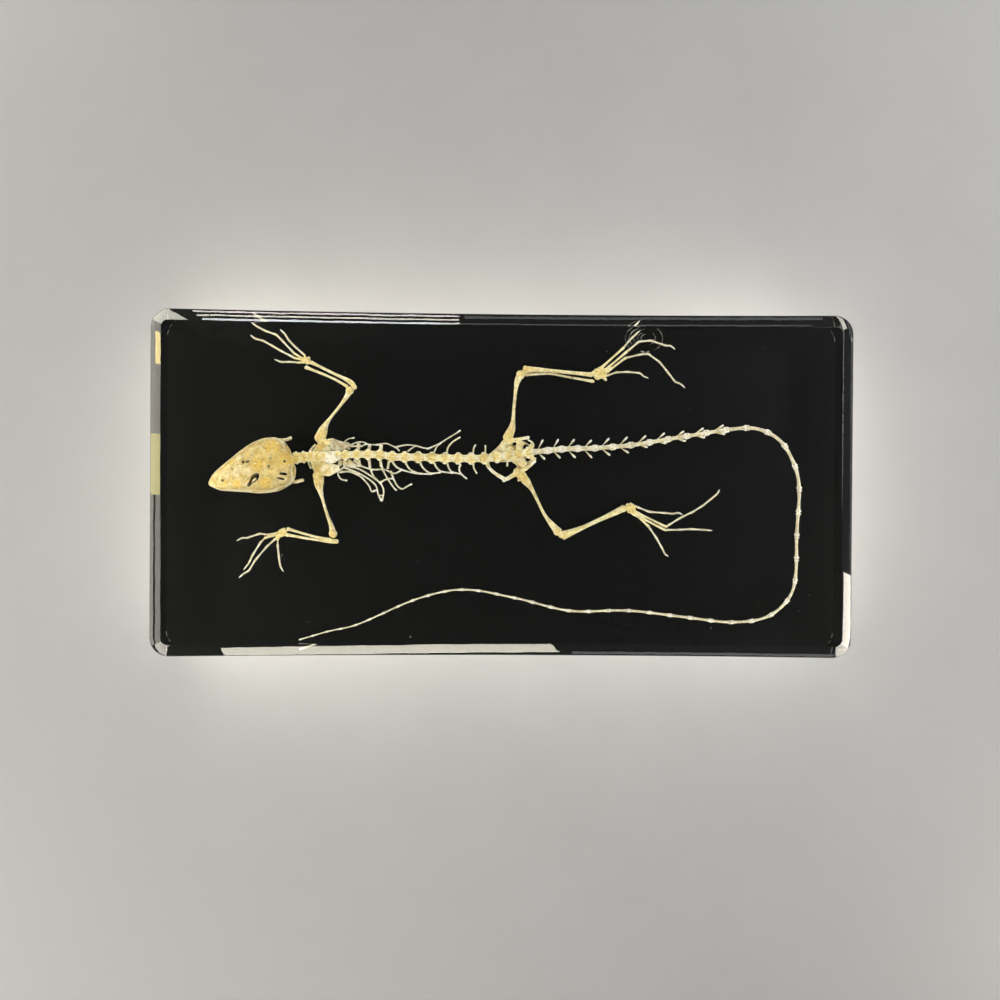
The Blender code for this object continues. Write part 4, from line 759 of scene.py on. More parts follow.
def make_cast_piece(name, form, finish, *nodes):
    """a part of the clear casting, with its shapes as they are"""
    bmesh.ops.scale(form.mesh, vec=(MM, MM, MM), verts=form.mesh.verts)
    piece = linked(name, form.finished_mesh(name))
    piece.data.shade_smooth()
    dress(piece, finish, "clear_acrylic", *nodes)
    return piece


def head_point(along, right, height):
    turn = math.radians(HEAD_HEADING)
    return Vector((SNOUT_TIP[0] + along * math.cos(turn) - right * math.sin(turn),
                   SNOUT_TIP[1] + along * math.sin(turn) + right * math.cos(turn), height))


def bump(distance, width):
    return math.exp(-(distance / width) ** 2)


def skull_relief(along, side, edge):
    """rise of the skull's roof at a place; side is a share of its half width, edge a share of the height"""
    rise = 0.0
    for height, across, breadth, place, length, shift in SKULL_SWELLINGS:
        aside = abs(side) - across + shift * (along - place)
        rise += height * bump(aside, breadth) * bump(along - place, length)
    return rise * max(edge - 0.35, 0.0) / 0.65


def skull_ring(along):
    right = smooth(SKULL_STATIONS, SKULL_RIGHT, along)
    left = smooth(SKULL_STATIONS, SKULL_LEFT, along)
    roof = smooth(SKULL_STATIONS, SKULL_ROOF, along)
    marks = list(range(len(SKULL_SECTION)))
    ring = []
    for index in range(2 * RING_STEPS):
        side = 1 if index <= RING_STEPS else -1
        mark = (index if side > 0 else 2 * RING_STEPS - index) * marks[-1] / RING_STEPS
        across, up = (smooth(marks, [point[axis] for point in SKULL_SECTION], mark) for axis in (0, 1))
        width = right if side > 0 else left
        height = up * roof + skull_relief(along, across * side, up)
        ring.append(head_point(along, across * side * width, JAW_LINE + height))
    return ring


def roof_height(along, right):
    """height of the skull's roof over a place on its plan"""
    half = smooth(SKULL_STATIONS, SKULL_RIGHT if right > 0 else SKULL_LEFT, along)
    share = min(abs(right) / half, 0.99)
    upper = SKULL_SECTION[3:]
    for (before, high), (after, low) in zip(upper, upper[1:]):
        if after <= share <= before:
            up = low + (high - low) * (share - after) / (before - after)
            break
    return JAW_LINE + up * smooth(SKULL_STATIONS, SKULL_ROOF, along)


def roof_point(along, right, sunk=0.0):
    return head_point(along, right, roof_height(along, right) - sunk)


def skull_holes():
    """openings and pits of the roof, rooms below them and at the sides, and the right temple's hollow"""
    holes = Form()
    for along, right, long_radius, radius, turn, depth in SKULL_OPENINGS:
        middle = roof_point(along, right, 0.35 * depth)
        holes.ball(middle, (long_radius, radius, depth), HEAD_HEADING + turn)
    for along, right, height, radii, turn in SKULL_ROOMS:
        holes.ball(head_point(along, right, height), radii, HEAD_HEADING + turn)
    holes.ball(roof_point(*TEMPLE, -TEMPLE_LIFT), TEMPLE_RADII, HEAD_HEADING)
    holes.bar([roof_point(along, right, 0.05) for along, right in TEMPLE_CREASE],
              (0.2, 0.45, 0.4, 0.35, 0.2), (0.6, 0.9, 0.8, 0.7, 0.5), 8)
    return holes


def make_skull(finish):
    form = Form()
    form.skin_rings([skull_ring(SKULL_LENGTH * index / SKULL_RINGS) for index in range(SKULL_RINGS + 1)])
    for plan, width in SKULL_RIDGES:
        line = [roof_point(along, right, 0.05) for along, right in plan]
        form.bar(line, (0.25, width, width, 0.25), (0.2, 0.38, 0.38, 0.2), 8)
    form.bar([head_point(*point) for point in NAPE], (5.0, 4.4, 3.9, 3.2), (2.6, 2.0, 1.6, 1.3))
    for along, right, radius, tone in SKULL_PATCHES:
        form.spot(roof_point(along, right), radius, tone)
    form.spot(head_point(25.2, 0.5, 14.5), 3.0, 1.3)
    make_bone("skull", form, finish, "skull_bone", SKULL_VOXEL, SKULL_RELIEF, cutters=skull_holes())


def make_splint(finish):
    form = Form()
    line = [roof_point(*point) for point in SPLINT]
    form.ball(line[0], (0.9, 0.3, 0.35), HEAD_HEADING + 30)
    form.bar(line, (0.4, 0.35, 0.9))
    form.spot(line[0], 1.2, -0.9)
    dress(fused("orbit_splint", form, THIN_VOXEL, LIMB_RELIEF), finish, "skull_bone")


def make_jaw(finish):
    form = Form()
    spur = SKULL_LENGTH - 0.9
    for side, outline in ((1, SKULL_RIGHT), (-1, SKULL_LEFT)):
        places = [(0.7, -0.3, 0.0), (0.9, 0.7, 0.0)]
        places += [(along, smooth(SKULL_STATIONS, outline, along) - MANDIBLE_INSET, 0.0)
                   for along in MANDIBLE_STATIONS]
        places += [(spur, 6.3, 0.3), (spur + 0.6 * SPUR_LENGTH, 6.3, 0.9), (spur + SPUR_LENGTH, 6.5, 1.0)]
        points = [head_point(along, side * outward, MANDIBLE_LEVEL + lift)
                  for along, outward, lift in places]
        form.bar(points, MANDIBLE_WIDTHS, MANDIBLE_HEIGHTS)
        form.spot(points[-1], 3.2, -1.3)
    make_bone("mandible", form, finish, "skull_bone")


def add_vertebra(form, route, start, end, reach, waist, rise):
    """a waisted body, an arch that widens into two blunt side processes, joint lobes and a low crest"""
    pitch = end - start
    origin, along, across, upward = route.axes((start + end) / 2)

    def at(share, side, up):
        return origin + along * ((share - 0.5) * pitch) + across * side + upward * up

    form.bar([at(-0.04, 0, -0.1), at(0.5, 0, -0.05), at(1.04, 0, -0.1)],
             (2 * CENTRUM_RADIUS, 1.4, 1.25, 1.5, 2 * CENTRUM_RADIUS))
    form.bar([at(-0.06, 0, 0.6), at(0.5, 0, 0.65), at(1.06, 0, 0.65)],
             (2 * waist, 1.1 * waist + 0.8 * reach, 1.84 * reach, 1.3 * waist + 0.55 * reach, 1.8 * waist),
             (0.9, 0.95, 0.9, 1.0, 1.0), 16, 0.2)
    for side in (1, -1):
        form.ball(at(0.46, side * (reach - 0.32), 0.6), (0.2 * pitch, 0.36, 0.36))
        form.ball(at(0.02, side * 0.62 * waist, 0.98), (0.36, 0.3, 0.3))
        form.ball(at(0.93, side * 0.7 * waist, 0.9), (0.36, 0.36, 0.3))
        form.spot(at(0.46, side * reach, 0.6), 0.8, -0.5)
    if rise:
        form.bar([at(0.3, 0, 0.95), at(0.65, 0, 0.95 + 0.4 * rise), at(0.98, 0, 0.95 + rise)],
                 (0.5, 0.42, 0.4, 0.5), (0.5, 0.6, 0.6, 0.5))
    form.spot(at(0.44, 0, 1.1), 1.0, 0.8)
    form.spot(at(0.97, 0, 1.2), 0.8, -0.55)


def rib_points(plan, number):
    """a rib's points, lower with their distance from the spine and slightly staggered among the ribs"""
    lift = RIB_STAGGER * ((number * 2) % 5 - 2)
    spine_x, spine_y, _ = zip(*SPINE_ROUTE)
    placed = []
    for x, y in plan:
        offset = abs(y - smooth(spine_x, spine_y, x))
        placed.append((x, y, RIB_LEVEL - RIB_DROOP * max(offset - DROOP_START, 0.0) + lift))
    return placed


def add_rib(form, plan, number, share=1.0):
    wide = 2 * RIB_RADIUS * share
    points = rib_points(plan, number)
    form.bar(points, [wide * part for part in (1.4, 1.05, 0.9, 0.85, 0.9, 0.85, 1.15)],
             [wide * part for part in (1.3, 0.95, 0.85, 0.8, 0.8, 0.8, 1.1)], 10)
    form.spot(points[-1], 1.2, -1.0)


def add_own_shapes(form, name):
    """bars, balls, plates and colour patches that only this bone has"""
    for bar in OWN_BARS.get(name, ()):
        form.bar(*bar)
    for ball in OWN_BALLS.get(name, ()):
        form.ball(*ball)
    for plate in OWN_PLATES.get(name, ()):
        form.plate(*plate)
    for patch in OWN_PATCHES.get(name, ()):
        form.spot(*patch)


def make_spine(finish):
    route = Route(SPINE_ROUTE)
    places = spread_places(SPINE_PITCH, route.length)
    index = 0
    for name, count in SPINE_GROUPS:
        form = Form()
        neck = name == "spine_neck"
        for _ in range(count):
            reach = smooth(VERTEBRA_STATIONS, VERTEBRA_REACH, index)
            add_vertebra(form, route, places[index], places[index + 1], reach,
                         NECK_WAIST if neck else 1.0, 0.0 if neck else CREST_RISE)
            index += 1
        if name == "spine_loin":
            for number, plan in enumerate(LOIN_RIBS):
                add_rib(form, plan, number)
        add_own_shapes(form, name)
        make_bone(name, form, finish, "limb_bone")


def make_ribs(finish):
    for name, plans, necks, share in (("ribs_left", LEFT_RIBS, NECKS_LEFT, 0.97),
                                      ("ribs_right", RIGHT_RIBS, NECKS_RIGHT, 0.84)):
        form = Form()
        for number, plan in enumerate(plans):
            add_rib(form, plan, number, share)
        for top, foot, width in necks:
            form.bar([(*top, RIB_LEVEL + 0.2), (*foot, RIB_LEVEL)], (width, 0.8 * width, 0.9 * width),
                     (0.7, 0.5, 0.5))
            form.spot((*top, RIB_LEVEL), 1.4, 0.5)
        make_bone(name, form, finish, "thin_bone", THIN_VOXEL, RIB_RELIEF, THIN_RELAXING)


def make_tail(finish):
    route = Route(TAIL_ROUTE)
    pitches = [smooth(TAIL_PITCH_STATIONS, TAIL_PITCHES, index) for index in range(TAIL_VERTEBRAE)]
    places = spread_places(pitches, route.length)
    for number in range(TAIL_LENGTHS):
        first = TAIL_VERTEBRAE * number // TAIL_LENGTHS
        last = TAIL_VERTEBRAE * (number + 1) // TAIL_LENGTHS
        form = Form()
        for index in range(first, last):
            add_tail_vertebra(form, route, places[index], places[index + 1], index)
        make_bone("tail_%d" % (number + 1), form, finish, "thin_bone", THIN_VOXEL, TAIL_RELIEF,
                  THIN_RELAXING)


def add_tail_vertebra(form, route, start, end, index):
    """a long waisted body with knobs at its joints and a low crest, and side bars on the front ones"""
    pitch = end - start
    share = (start + end) / 2 / route.length
    radius = smooth(even_marks(TAIL_KNOB_RADIUS), TAIL_KNOB_RADIUS, share)
    slim = (0.76 - 0.16 * min(max((index - 1) / 5, 0.0), 1.0)) * radius

    def at(place, side, up):
        middle, _, across, upward = route.axes(start + place * pitch)
        return middle + across * side + upward * up

    form.bar([route.at(start + place * pitch) for place in (-0.01, 0.33, 0.66, 1.01)],
             (1.75 * radius, 2.2 * slim, 2.0 * slim, 1.9 * slim, 2.0 * slim, 2.3 * slim, 1.75 * radius))
    form.bar([at(0.0, 0, 0.5 * radius), at(0.5, 0, 0.45 * slim), at(1.0, 0, 0.7 * radius)],
             (radius, 0.7 * radius, 0.8 * radius), (0.9 * radius, 0.6 * radius, 0.8 * radius))
    knob = 0.42 * radius
    for side in (1, -1):
        form.ball(at(0.96, side * (1.05 * radius - knob), 0.1 * radius), (1.3 * knob, knob, knob))
        form.ball(at(0.08, side * (0.98 * radius - knob), 0.35 * radius), (1.1 * knob, knob, 0.8 * knob))
        form.spot(at(1.0, side * radius, 0.3), 1.5 * radius, -0.6)
        if index < BARRED_VERTEBRAE:
            add_side_bar(form, route, start, pitch, index, side)
    form.spot(at(0.5, 0, 0.4 * radius), 0.3 * pitch, 0.3)


def add_side_bar(form, route, start, pitch, index, side):
    root, along, across, _ = route.axes(start + 0.3 * pitch)
    reach = smooth(SIDE_BAR_STATIONS, SIDE_BAR_REACH, index) + side * SIDE_BAR_SKEW[index]
    tip = root + across * (side * reach) + along * (SIDE_BAR_LEAN + 0.2 * pitch + 0.13 * index)
    form.bar([root, root.lerp(tip, 0.55), tip], (0.5, 0.26, 0.27, 0.5, 0.66, 0.5),
             (0.5, 0.26, 0.27, 0.4, 0.5, 0.45))
    form.spot(tip, 1.1, -1.3)
    form.spot(root.lerp(tip, 0.5), 0.7, 0.8)


def stretched(points, first, last):
    """the same points, with both ends moved out along the bone"""
    points = [Vector(point) for point in points]
    front = points[0] + (points[0] - points[1]).normalized() * first
    back = points[-1] + (points[-1] - points[-2]).normalized() * last
    return [front] + points[1:-1] + [back]


def add_knuckles(form, route, widths):
    """the pair of rounds at each end of a long bone"""
    for share, wide in ((0.035, widths[0]), (0.965, widths[-1])):
        place, _, across, _ = route.axes(share * route.length)
        radius = max(0.24 * wide, 0.3)
        for side in (1, -1):
            form.ball(place + across * (side * 0.27 * wide), (radius, radius, radius * 1.05))


def add_head_and_crest(form, route, widths):
    """the round head and the crest of an upper arm or thigh, and its broad lower end"""
    first, last = widths[0], widths[-1]
    inward = (route.points[-2] - route.points[-1]).normalized()
    form.ball(route.points[-1] + inward * 0.5, (0.58 * last, 0.58 * last, 0.45 * last))
    form.ball(route.points[0], (0.55 * first, 0.5 * first, 0.7))
    crest = [raised(route.at(route.length * share), lift)
             for share, lift in ((0.06, 0.3), (0.16, 0.65), (0.3, 0.3))]
    form.bar(crest, (0.7, 0.6, 0.4), (0.8, 0.7, 0.4))


def make_limb_bones(finish):
    for name, points, (widths, heights) in LIMB_BONES:
        form = Form()
        upper = widths in (HUMERUS[0], FEMUR[0])
        points = stretched(points, JOINT_REACH, UPPER_END_REACH if upper else JOINT_REACH)
        form.bar(points, widths, heights, 20, 0.25)
        route = Route(points)
        add_knuckles(form, route, widths)
        if upper:
            add_head_and_crest(form, route, widths)
        if name == "tibia_left":
            form.ball(points[0] + Vector(KNEE_SHIFT), KNEE_RADII)
        form.spot(raised(points[0], 0.6), 0.6 + widths[0], 0.65)
        form.spot(raised(points[-1], 0.8), 0.4 + 0.5 * widths[-1], 0.8)
        make_bone(name, form, finish, "limb_bone", relief=LIMB_RELIEF)


def make_digit(name, root, lengths, headings, level, finish):
    """finger or toe bones, each with knuckles at its ends, and a curved claw"""
    form = Form()
    place = Vector((*root, level))
    shaft = 2 * PHALANX_RADIUS
    for index, (length, heading) in enumerate(zip(lengths, headings)):
        turn = math.radians(heading)
        step = Vector((math.cos(turn) * length, math.sin(turn) * length, -DIGIT_FALL))
        knuckle = 2 * KNUCKLE_RADIUS * (1.0 - 0.05 * index)
        if index == len(lengths) - 1:
            arch = [raised(place + step * share, lift) for share, lift in ((0.35, 0.3), (0.7, 0.24))]
            form.bar([place, *arch, place + step],
                     (0.85 * knuckle, 0.5, 0.42, 0.3, 0.14), (1.1 * knuckle, 0.7, 0.5, 0.35, 0.16), 10)
            form.spot(place + step * 0.7, 1.2, -0.8)
        else:
            form.bar([place - step * 0.04, place + step * 0.5, place + step],
                     (1.05 * knuckle, 1.25 * shaft, shaft, shaft, 1.2 * shaft, knuckle),
                     (knuckle, 1.2 * shaft, shaft, shaft, 1.2 * shaft, knuckle), 10)
        form.spot(place, 0.9, 0.35 if index else 0.6)
        place = place + step
    make_bone(name, form, finish, "thin_bone", THIN_VOXEL, DIGIT_RELIEF, THIN_RELAXING)


def add_pebbles(form, centre, radii, turn):
    """the small rounded bones of a wrist or ankle, on one flat mass"""
    spin = Matrix.Rotation(math.radians(turn), 3, "Z")
    form.ball(centre, [radius * 0.8 for radius in radii], turn)
    for index in range(PEBBLES):
        around = 2 * math.pi * index / PEBBLES + draws.uniform(-0.15, 0.15)
        spread = 0.62 if index % 2 else 0.7
        offset = spin @ Vector((math.cos(around) * radii[0] * spread, math.sin(around) * radii[1] * spread,
                                draws.uniform(0.0, 0.3)))
        size = draws.uniform(0.42, 0.58) * radii[1] * 0.8
        form.ball(Vector(centre) + offset, (size * 1.15, size, size), draws.uniform(0, 180))
    form.spot(centre, 2.6, 0.55)


def add_palm_bone(form, start, root, level, heading):
    """the bone from a wrist or ankle to the root of a digit"""
    turn = math.radians(heading)
    back = Vector((math.cos(turn), math.sin(turn), 0.0))
    start = Vector((*start, DIGIT_LEVEL + 0.2))
    end = Vector((*root, level)) - back * 0.12
    neck = end - back * 0.5
    form.bar([start, start.lerp(neck, 0.5), neck, end], (1.1, 0.75, 0.6, 0.65, 0.85),
             (1.0, 0.7, 0.6, 0.65, 0.8))
    form.spot(end, 0.8, 0.3)


def make_feet(digit_finish, wrist_finish):
    for digit_name, wrist_name, digits, (centre, radii, turn, starts, spur, rises) in FEET:
        form = Form()
        add_pebbles(form, centre, radii, turn)
        for number, (root, lengths, headings) in enumerate(digits):
            level = DIGIT_LEVEL + rises[number]
            make_digit("%s_%d" % (digit_name, number + 1), root, lengths, headings, level, digit_finish)
            add_palm_bone(form, starts[number], root, level, headings[0])
        form.bar([centre, (*spur, centre[2] + 0.3)], (1.2, 1.0, 0.8))
        make_bone(wrist_name, form, wrist_finish, "limb_bone", THIN_VOXEL, WRIST_RELIEF)


def make_shoulders(finish):
    for name, (socket, blade_root, arm) in SHOULDERS.items():
        form = Form()
        form.ball(socket, (1.5, 1.2, 1.2))
        form.bar(blade_root, (1.9, 1.5), (1.2, 0.8))
        form.bar(arm, (2.4, 3.0, 3.6), (1.0, 0.8, 0.7))
        add_own_shapes(form, name)
        form.spot(socket, 2.6, 0.7)
        form.spot(raised(arm[-1], 0.5), 2.4, 0.5)
        make_bone(name, form, finish, "limb_bone", relief=SHOULDER_RELIEF)


def make_shoulder_gristle(finish):
    """the dried, ribbed sheet that widens the right blade"""
    form = Form()
    form.plate(BLADE_RIGHT, 0.4)
    for number in range(5):
        foot = Vector((-50.6, 11.6 - 0.35 * number, 12.55))
        rim = Vector((-45.0 - 0.75 * (number % 3), 12.0 - 0.55 * number, 13.6))
        form.bar([foot, raised(foot.lerp(rim, 0.5), 0.1), rim], (0.35, 0.45, 0.25), (0.3, 0.34, 0.2))
        form.spot(foot.lerp(rim, 0.6), 1.0, (-0.7, 0.6)[number % 2])
    dress(fused("suprascapula_right_skin", form, BONE_VOXEL, SHOULDER_RELIEF), finish, "limb_bone")


def make_breastbone(finish):
    form = Form()
    form.bar(BREAST_PLATE, (0.8, 1.5, 1.4, 0.6), (0.6, 0.6, 0.5))
    form.bar((BREAST_FRONT, BREAST_NECK), (0.7, 0.7, 0.9), (0.7, 0.7))
    for middle, end in COLLAR_RODS:
        form.bar((BREAST_FRONT, middle, end), (0.8, 0.65, 0.6, 0.65), (0.7, 0.6, 0.6, 0.6))
    make_bone("breastbone", form, finish, "limb_bone", relief=LIMB_RELIEF)


def make_pelvis(finish):
    for name, (socket, ilium, pubis, widths, ischium, holes) in HIPS.items():
        form = Form()
        form.ball(socket, (1.5, 1.3, 1.1))
        form.bar(ilium, (1.8, 1.2, 1.0, 0.9), (1.8, 1.5, 1.2, 0.8))
        form.bar(pubis, widths, (0.9, 0.9, 0.9))
        add_own_shapes(form, name)
        openings = Form()
        for place, radius in holes:
            openings.ball((*place, 9.8), (1.15 * radius, radius, 2.0), 20)
        form.spot(socket, 2.0, 0.5)
        form.spot(raised(ischium, 0.8), 1.5, 0.5)
        form.spot(ilium[-1], 2.2, -1.0)
        make_bone(name, form, finish, "limb_bone", relief=PELVIS_RELIEF, cutters=openings)


def slab_ring(inset, height):
    """the block's outline, drawn in all round by some inset, as points at one height"""
    low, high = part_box("acrylic_block")
    half_length = (high.x - low.x) / 2 / MM
    half_width = (high.y - low.y) / 2 / MM
    radius = max(CORNER_RADIUS - inset, 0.5)
    reach = half_length - inset - radius
    plan = []
    for corner, (side, edge) in enumerate(((1, 1), (-1, 1), (-1, -1), (1, -1))):
        for step in range(CORNER_STEPS + 1):
            turn = math.pi / 2 * (corner + step / CORNER_STEPS)
            plan.append((side * reach + radius * math.cos(turn),
                         edge * (half_width - inset - radius) + radius * math.sin(turn)))
        x, y = plan[-1]
        if corner % 2 == 0:
            plan += [(x - 2 * side * reach * step / EDGE_STEPS, y) for step in range(1, EDGE_STEPS)]
    return [Vector((x, y * (1 - SIDE_DRAW * (1 - (x / half_length) ** 2) / half_width), height))
            for x, y in plan]


def rim_profile(top, foot):
    """insets and heights of the block's rings, from its foot over side and chamfer to the front"""
    slope = math.degrees(math.atan2(RIM_DROP, RIM_WIDTH))
    start = 90.0
    inset = 0.0
    rise = 0.0
    climbed = [(0.0, 0.0)]
    for target, (count, length) in ((slope + RIM_CROWN, LOWER_ROUND), (slope - RIM_CROWN, CHAMFER),
                                    (0.0, UPPER_ROUND)):
        for step in range(count):
            turn = math.radians(start + (target - start) * (step + 0.5) / count)
            inset += length * math.cos(turn)
            rise += length * math.sin(turn)
            climbed.append((inset, rise))
        start = target
    return [(0.0, foot), (0.0, foot + 0.02)] + [(drawn, top - rise + height) for drawn, height in climbed]


def make_block(finish):
    top = cad_high.z / MM
    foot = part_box("backing_layer")[1].z / MM - SUNK
    form = Form()
    form.skin_rings([slab_ring(inset, height) for inset, height in rim_profile(top, foot)])
    block = make_cast_piece("clear_block", form, finish, "acrylic_block")
    weigh = block.modifiers.new("flat faces stay flat", "WEIGHTED_NORMAL")
    weigh.mode = "FACE_AREA"
    weigh.weight = 100


def make_swirl(finish):
    """rings of resin that set at another time, nested and open on one side"""
    form = Form()
    for index in range(SWIRL_RINGS):
        share = 0.25 + 0.13 * index
        wander = draws.uniform(-0.3, 0.3)
        first, last = SWIRL_ARCS[index % 3]
        points = []
        for turn in np.radians(np.linspace(first, last, 13)):
            points.append((SWIRL_CENTRE[0] + wander + SWIRL_RADII[0] * share * math.cos(turn),
                           SWIRL_CENTRE[1] + SWIRL_RADII[1] * share * math.sin(turn),
                           SWIRL_CENTRE[2] - 0.4 * index + 0.8 * share * math.sin(2 * turn)))
        wide = draws.uniform(0.14, 0.3)
        form.bar(points, (0.05, wide, wide * 0.7, wide, 0.05), (0.05, 0.5, 0.6, 0.4, 0.05), 8, 0.4)
    form.bar(SWIRL_TAIL, (0.2, 0.9, 0.2), (0.1, 0.25, 0.1))
    make_cast_piece("casting_swirl", form, finish)


def make_bubbles(finish):
    """small pockets of air, flattened a little, in the clear casting"""
    form = Form()
    for _ in range(BUBBLES):
        size = draws.uniform(0.12, 0.3)
        x = draws.uniform(-92, 92)
        y = draws.choice((-1, 1)) * draws.uniform(20, 44)
        form.ball((x, y, draws.uniform(3, 22)), (size, size * draws.uniform(0.8, 1.2), size * 0.8))
    make_cast_piece("casting_bubbles", form, finish)


def new_material(name):
    made = bpy.data.materials.new(name)
    made.use_nodes = True
    tree = made.node_tree
    return made, tree, tree.nodes["Principled BSDF"]


def add_node(tree, kind, inputs=(), **settings):
    node = tree.nodes.new(kind)
    for name, value in settings.items():
        setattr(node, name, value)
    for name, value in inputs:
        if isinstance(value, bpy.types.NodeSocket):
            tree.links.new(value, node.inputs[name])
        else:
            node.inputs[name].default_value = value
    return node


def add_noise(tree, scale, detail=4.0, roughness=0.55):
    place = add_node(tree, "ShaderNodeTexCoord").outputs["Object"]
    return add_node(tree, "ShaderNodeTexNoise", (("Vector", place), ("Scale", scale), ("Detail", detail),
                                                 ("Roughness", roughness))).outputs["Fac"]


def add_ramp(tree, factor, stops):
    ramp = add_node(tree, "ShaderNodeValToRGB", (("Fac", factor),))
    elements = ramp.color_ramp.elements
    while len(elements) < len(stops):
        elements.new(0.5)
    for element, (position, colour) in zip(elements, stops):
        element.position = position
        element.color = (*colour, 1.0)
    return ramp.outputs["Color"]


def add_range(tree, value, low, high, to_low=0.0, to_high=1.0):
    return add_node(tree, "ShaderNodeMapRange", (("Value", value), ("From Min", low), ("From Max", high),
                                                 ("To Min", to_low), ("To Max", to_high))).outputs["Result"]


def add_mix(tree, factor, first, second, blend="MIX"):
    node = add_node(tree, "ShaderNodeMix", data_type="RGBA", blend_type=blend)
    for socket, value in ((node.inputs[0], factor), (node.inputs[6], first), (node.inputs[7], second)):
        if isinstance(value, bpy.types.NodeSocket):
            tree.links.new(value, socket)
        else:
            socket.default_value = (*value, 1.0) if isinstance(value, tuple) else value
    return node.outputs[2]


def add_specks(tree, colour, grain, shade, full, none):
    """darkens a colour with specks of some shade where a grain is low"""
    specks = add_ramp(tree, grain, ((full, shade), (none, (1.0, 1.0, 1.0))))
    return add_mix(tree, 1.0, colour, specks, "MULTIPLY")


def add_stored(tree, name):
    return add_node(tree, "ShaderNodeAttribute", attribute_name=name).outputs["Fac"]


def bone_colour(tree, fine, deep, middle, pale, amber, chalk, edge):
    """mottled shades, amber and chalky patches, painted highlights on edges and sides, painted shade in
    hollows, specks
    """
    broad = add_noise(tree, BROAD_GRAIN, 6.0, 0.62)
    colour = add_ramp(tree, broad, ((0.34, deep), (0.5, middle), (0.66, pale)))
    tone = add_stored(tree, "tone")
    ragged = add_range(tree, add_noise(tree, RAGGED_GRAIN, 3.0), 0.3, 0.55, 0.35, 1.0)
    warm = add_node(tree, "ShaderNodeMath", ((0, add_range(tree, tone, 0.05, 0.8)), (1, ragged)),
                    operation="MULTIPLY").outputs[0]
    colour = add_mix(tree, warm, colour, amber)
    colour = add_mix(tree, add_range(tree, tone, -0.05, -0.8), colour, chalk)
    mottled = add_noise(tree, MOTTLED_GRAIN, 3.0, 0.6)
    colour = add_specks(tree, colour, mottled, (0.78, 0.72, 0.6), 0.36, 0.54)
    pointed = add_node(tree, "ShaderNodeNewGeometry").outputs["Pointiness"]
    # painted highlight: sharp convex edges are mixed towards a near-white edge colour
    colour = add_mix(tree, add_range(tree, pointed, 0.5, 0.6, 0.0, 0.75), colour, edge)
    # painted shade: hollows and creases are mixed towards the deep shade
    colour = add_mix(tree, add_range(tree, pointed, 0.49, 0.4, 0.0, 0.6), colour, deep)
    # painted rim highlight: steep sides of the bones are mixed towards the pale edge colour
    colour = add_mix(tree, add_range(tree, add_stored(tree, "painted_rim_highlight"), 0.0, 0.5, 0.0, 0.9), colour, edge)
    return add_specks(tree, colour, fine, (0.8, 0.78, 0.74), 0.3, 0.55)


def bone_material(name):
    """mottled and finely pitted bone that lets a little light in"""
    made, tree, shader = new_material(name)
    fine = add_noise(tree, FINE_GRAIN, 5.0, 0.65)
    tree.links.new(bone_colour(tree, fine, *BONE_SHADES[name]), shader.inputs["Base Color"])
    tree.links.new(add_range(tree, fine, 0.3, 0.7, 0.42, 0.62), shader.inputs["Roughness"])
    pitted = add_node(tree, "ShaderNodeBump", (("Height", fine), ("Strength", 0.35), ("Distance", 0.00008)))
    tree.links.new(pitted.outputs["Normal"], shader.inputs["Normal"])
    shader.inputs["Subsurface Weight"].default_value = 0.2
    shader.inputs["Subsurface Radius"].default_value = (1.0, 0.7, 0.4)
    shader.inputs["Subsurface Scale"].default_value = 0.0006
    shader.inputs["Specular IOR Level"].default_value = 0.25
    return made


def grained(tree, shader, grain, stops, socket, low, high):
    """lets the colour and one more value of a surface follow the same grain"""
    tree.links.new(add_ramp(tree, grain, stops), shader.inputs["Base Color"])
    tree.links.new(add_range(tree, grain, 0.3, 0.7, low, high), shader.inputs[socket])


def acrylic_material():
    """polished clear acrylic that lets light through to the bones"""
    made, tree, shader = new_material("polished_acrylic")
    shader.inputs["Base Color"].default_value = (1.0, 1.0, 1.0, 1.0)
    shader.inputs["Transmission Weight"].default_value = 1.0
    shader.inputs["IOR"].default_value = ACRYLIC_IOR
    haze = add_range(tree, add_noise(tree, 60.0), 0.35, 0.75, 0.0, 0.03)
    tree.links.new(haze, shader.inputs["Roughness"])
    wave = add_node(tree, "ShaderNodeBump", (("Height", add_noise(tree, 70.0, 2.0)), ("Strength", 0.12),
                                             ("Distance", 0.0005)))
    tree.links.new(wave.outputs["Normal"], shader.inputs["Normal"])
    let_through(tree, shader)
    return made


def let_through(tree, shader):
    """light on its way to a lamp passes the surface unbent"""
    shadow = add_node(tree, "ShaderNodeLightPath").outputs["Is Shadow Ray"]
    clear = add_node(tree, "ShaderNodeBsdfTransparent").outputs["BSDF"]
    mix = add_node(tree, "ShaderNodeMixShader", (("Fac", shadow), (1, shader.outputs["BSDF"]), (2, clear)))
    tree.links.new(mix.outputs["Shader"], tree.nodes["Material Output"].inputs["Surface"])


def resin_material():
    """cloudy resin of the casting's flow rings"""
    made, tree, shader = new_material("cloudy_resin")
    grained(tree, shader, add_noise(tree, 500.0), ((0.3, (0.35, 0.33, 0.28)), (0.7, (0.7, 0.66, 0.6))),
            "Alpha", 0.15, 0.5)
    shader.inputs["Roughness"].default_value = 0.4
    return made


def air_material():
    made, tree, shader = new_material("trapped_air")
    shader.inputs["Transmission Weight"].default_value = 1.0
    shader.inputs["IOR"].default_value = 1.0 / ACRYLIC_IOR
    haze = add_range(tree, add_noise(tree, 900.0), 0.3, 0.7, 0.0, 0.05)
    tree.links.new(haze, shader.inputs["Roughness"])
    let_through(tree, shader)
    return made


def backing_material():
    """the black layer under the casting, faintly specked"""
    made, tree, shader = new_material("black_backing")
    grained(tree, shader, add_noise(tree, 900.0, 3.0),
            ((0.35, (0.0012, 0.0017, 0.0016)), (0.7, (0.003, 0.0036, 0.0034))), "Roughness", 0.4, 0.5)
    shader.inputs["Specular IOR Level"].default_value = 0.1
    return made


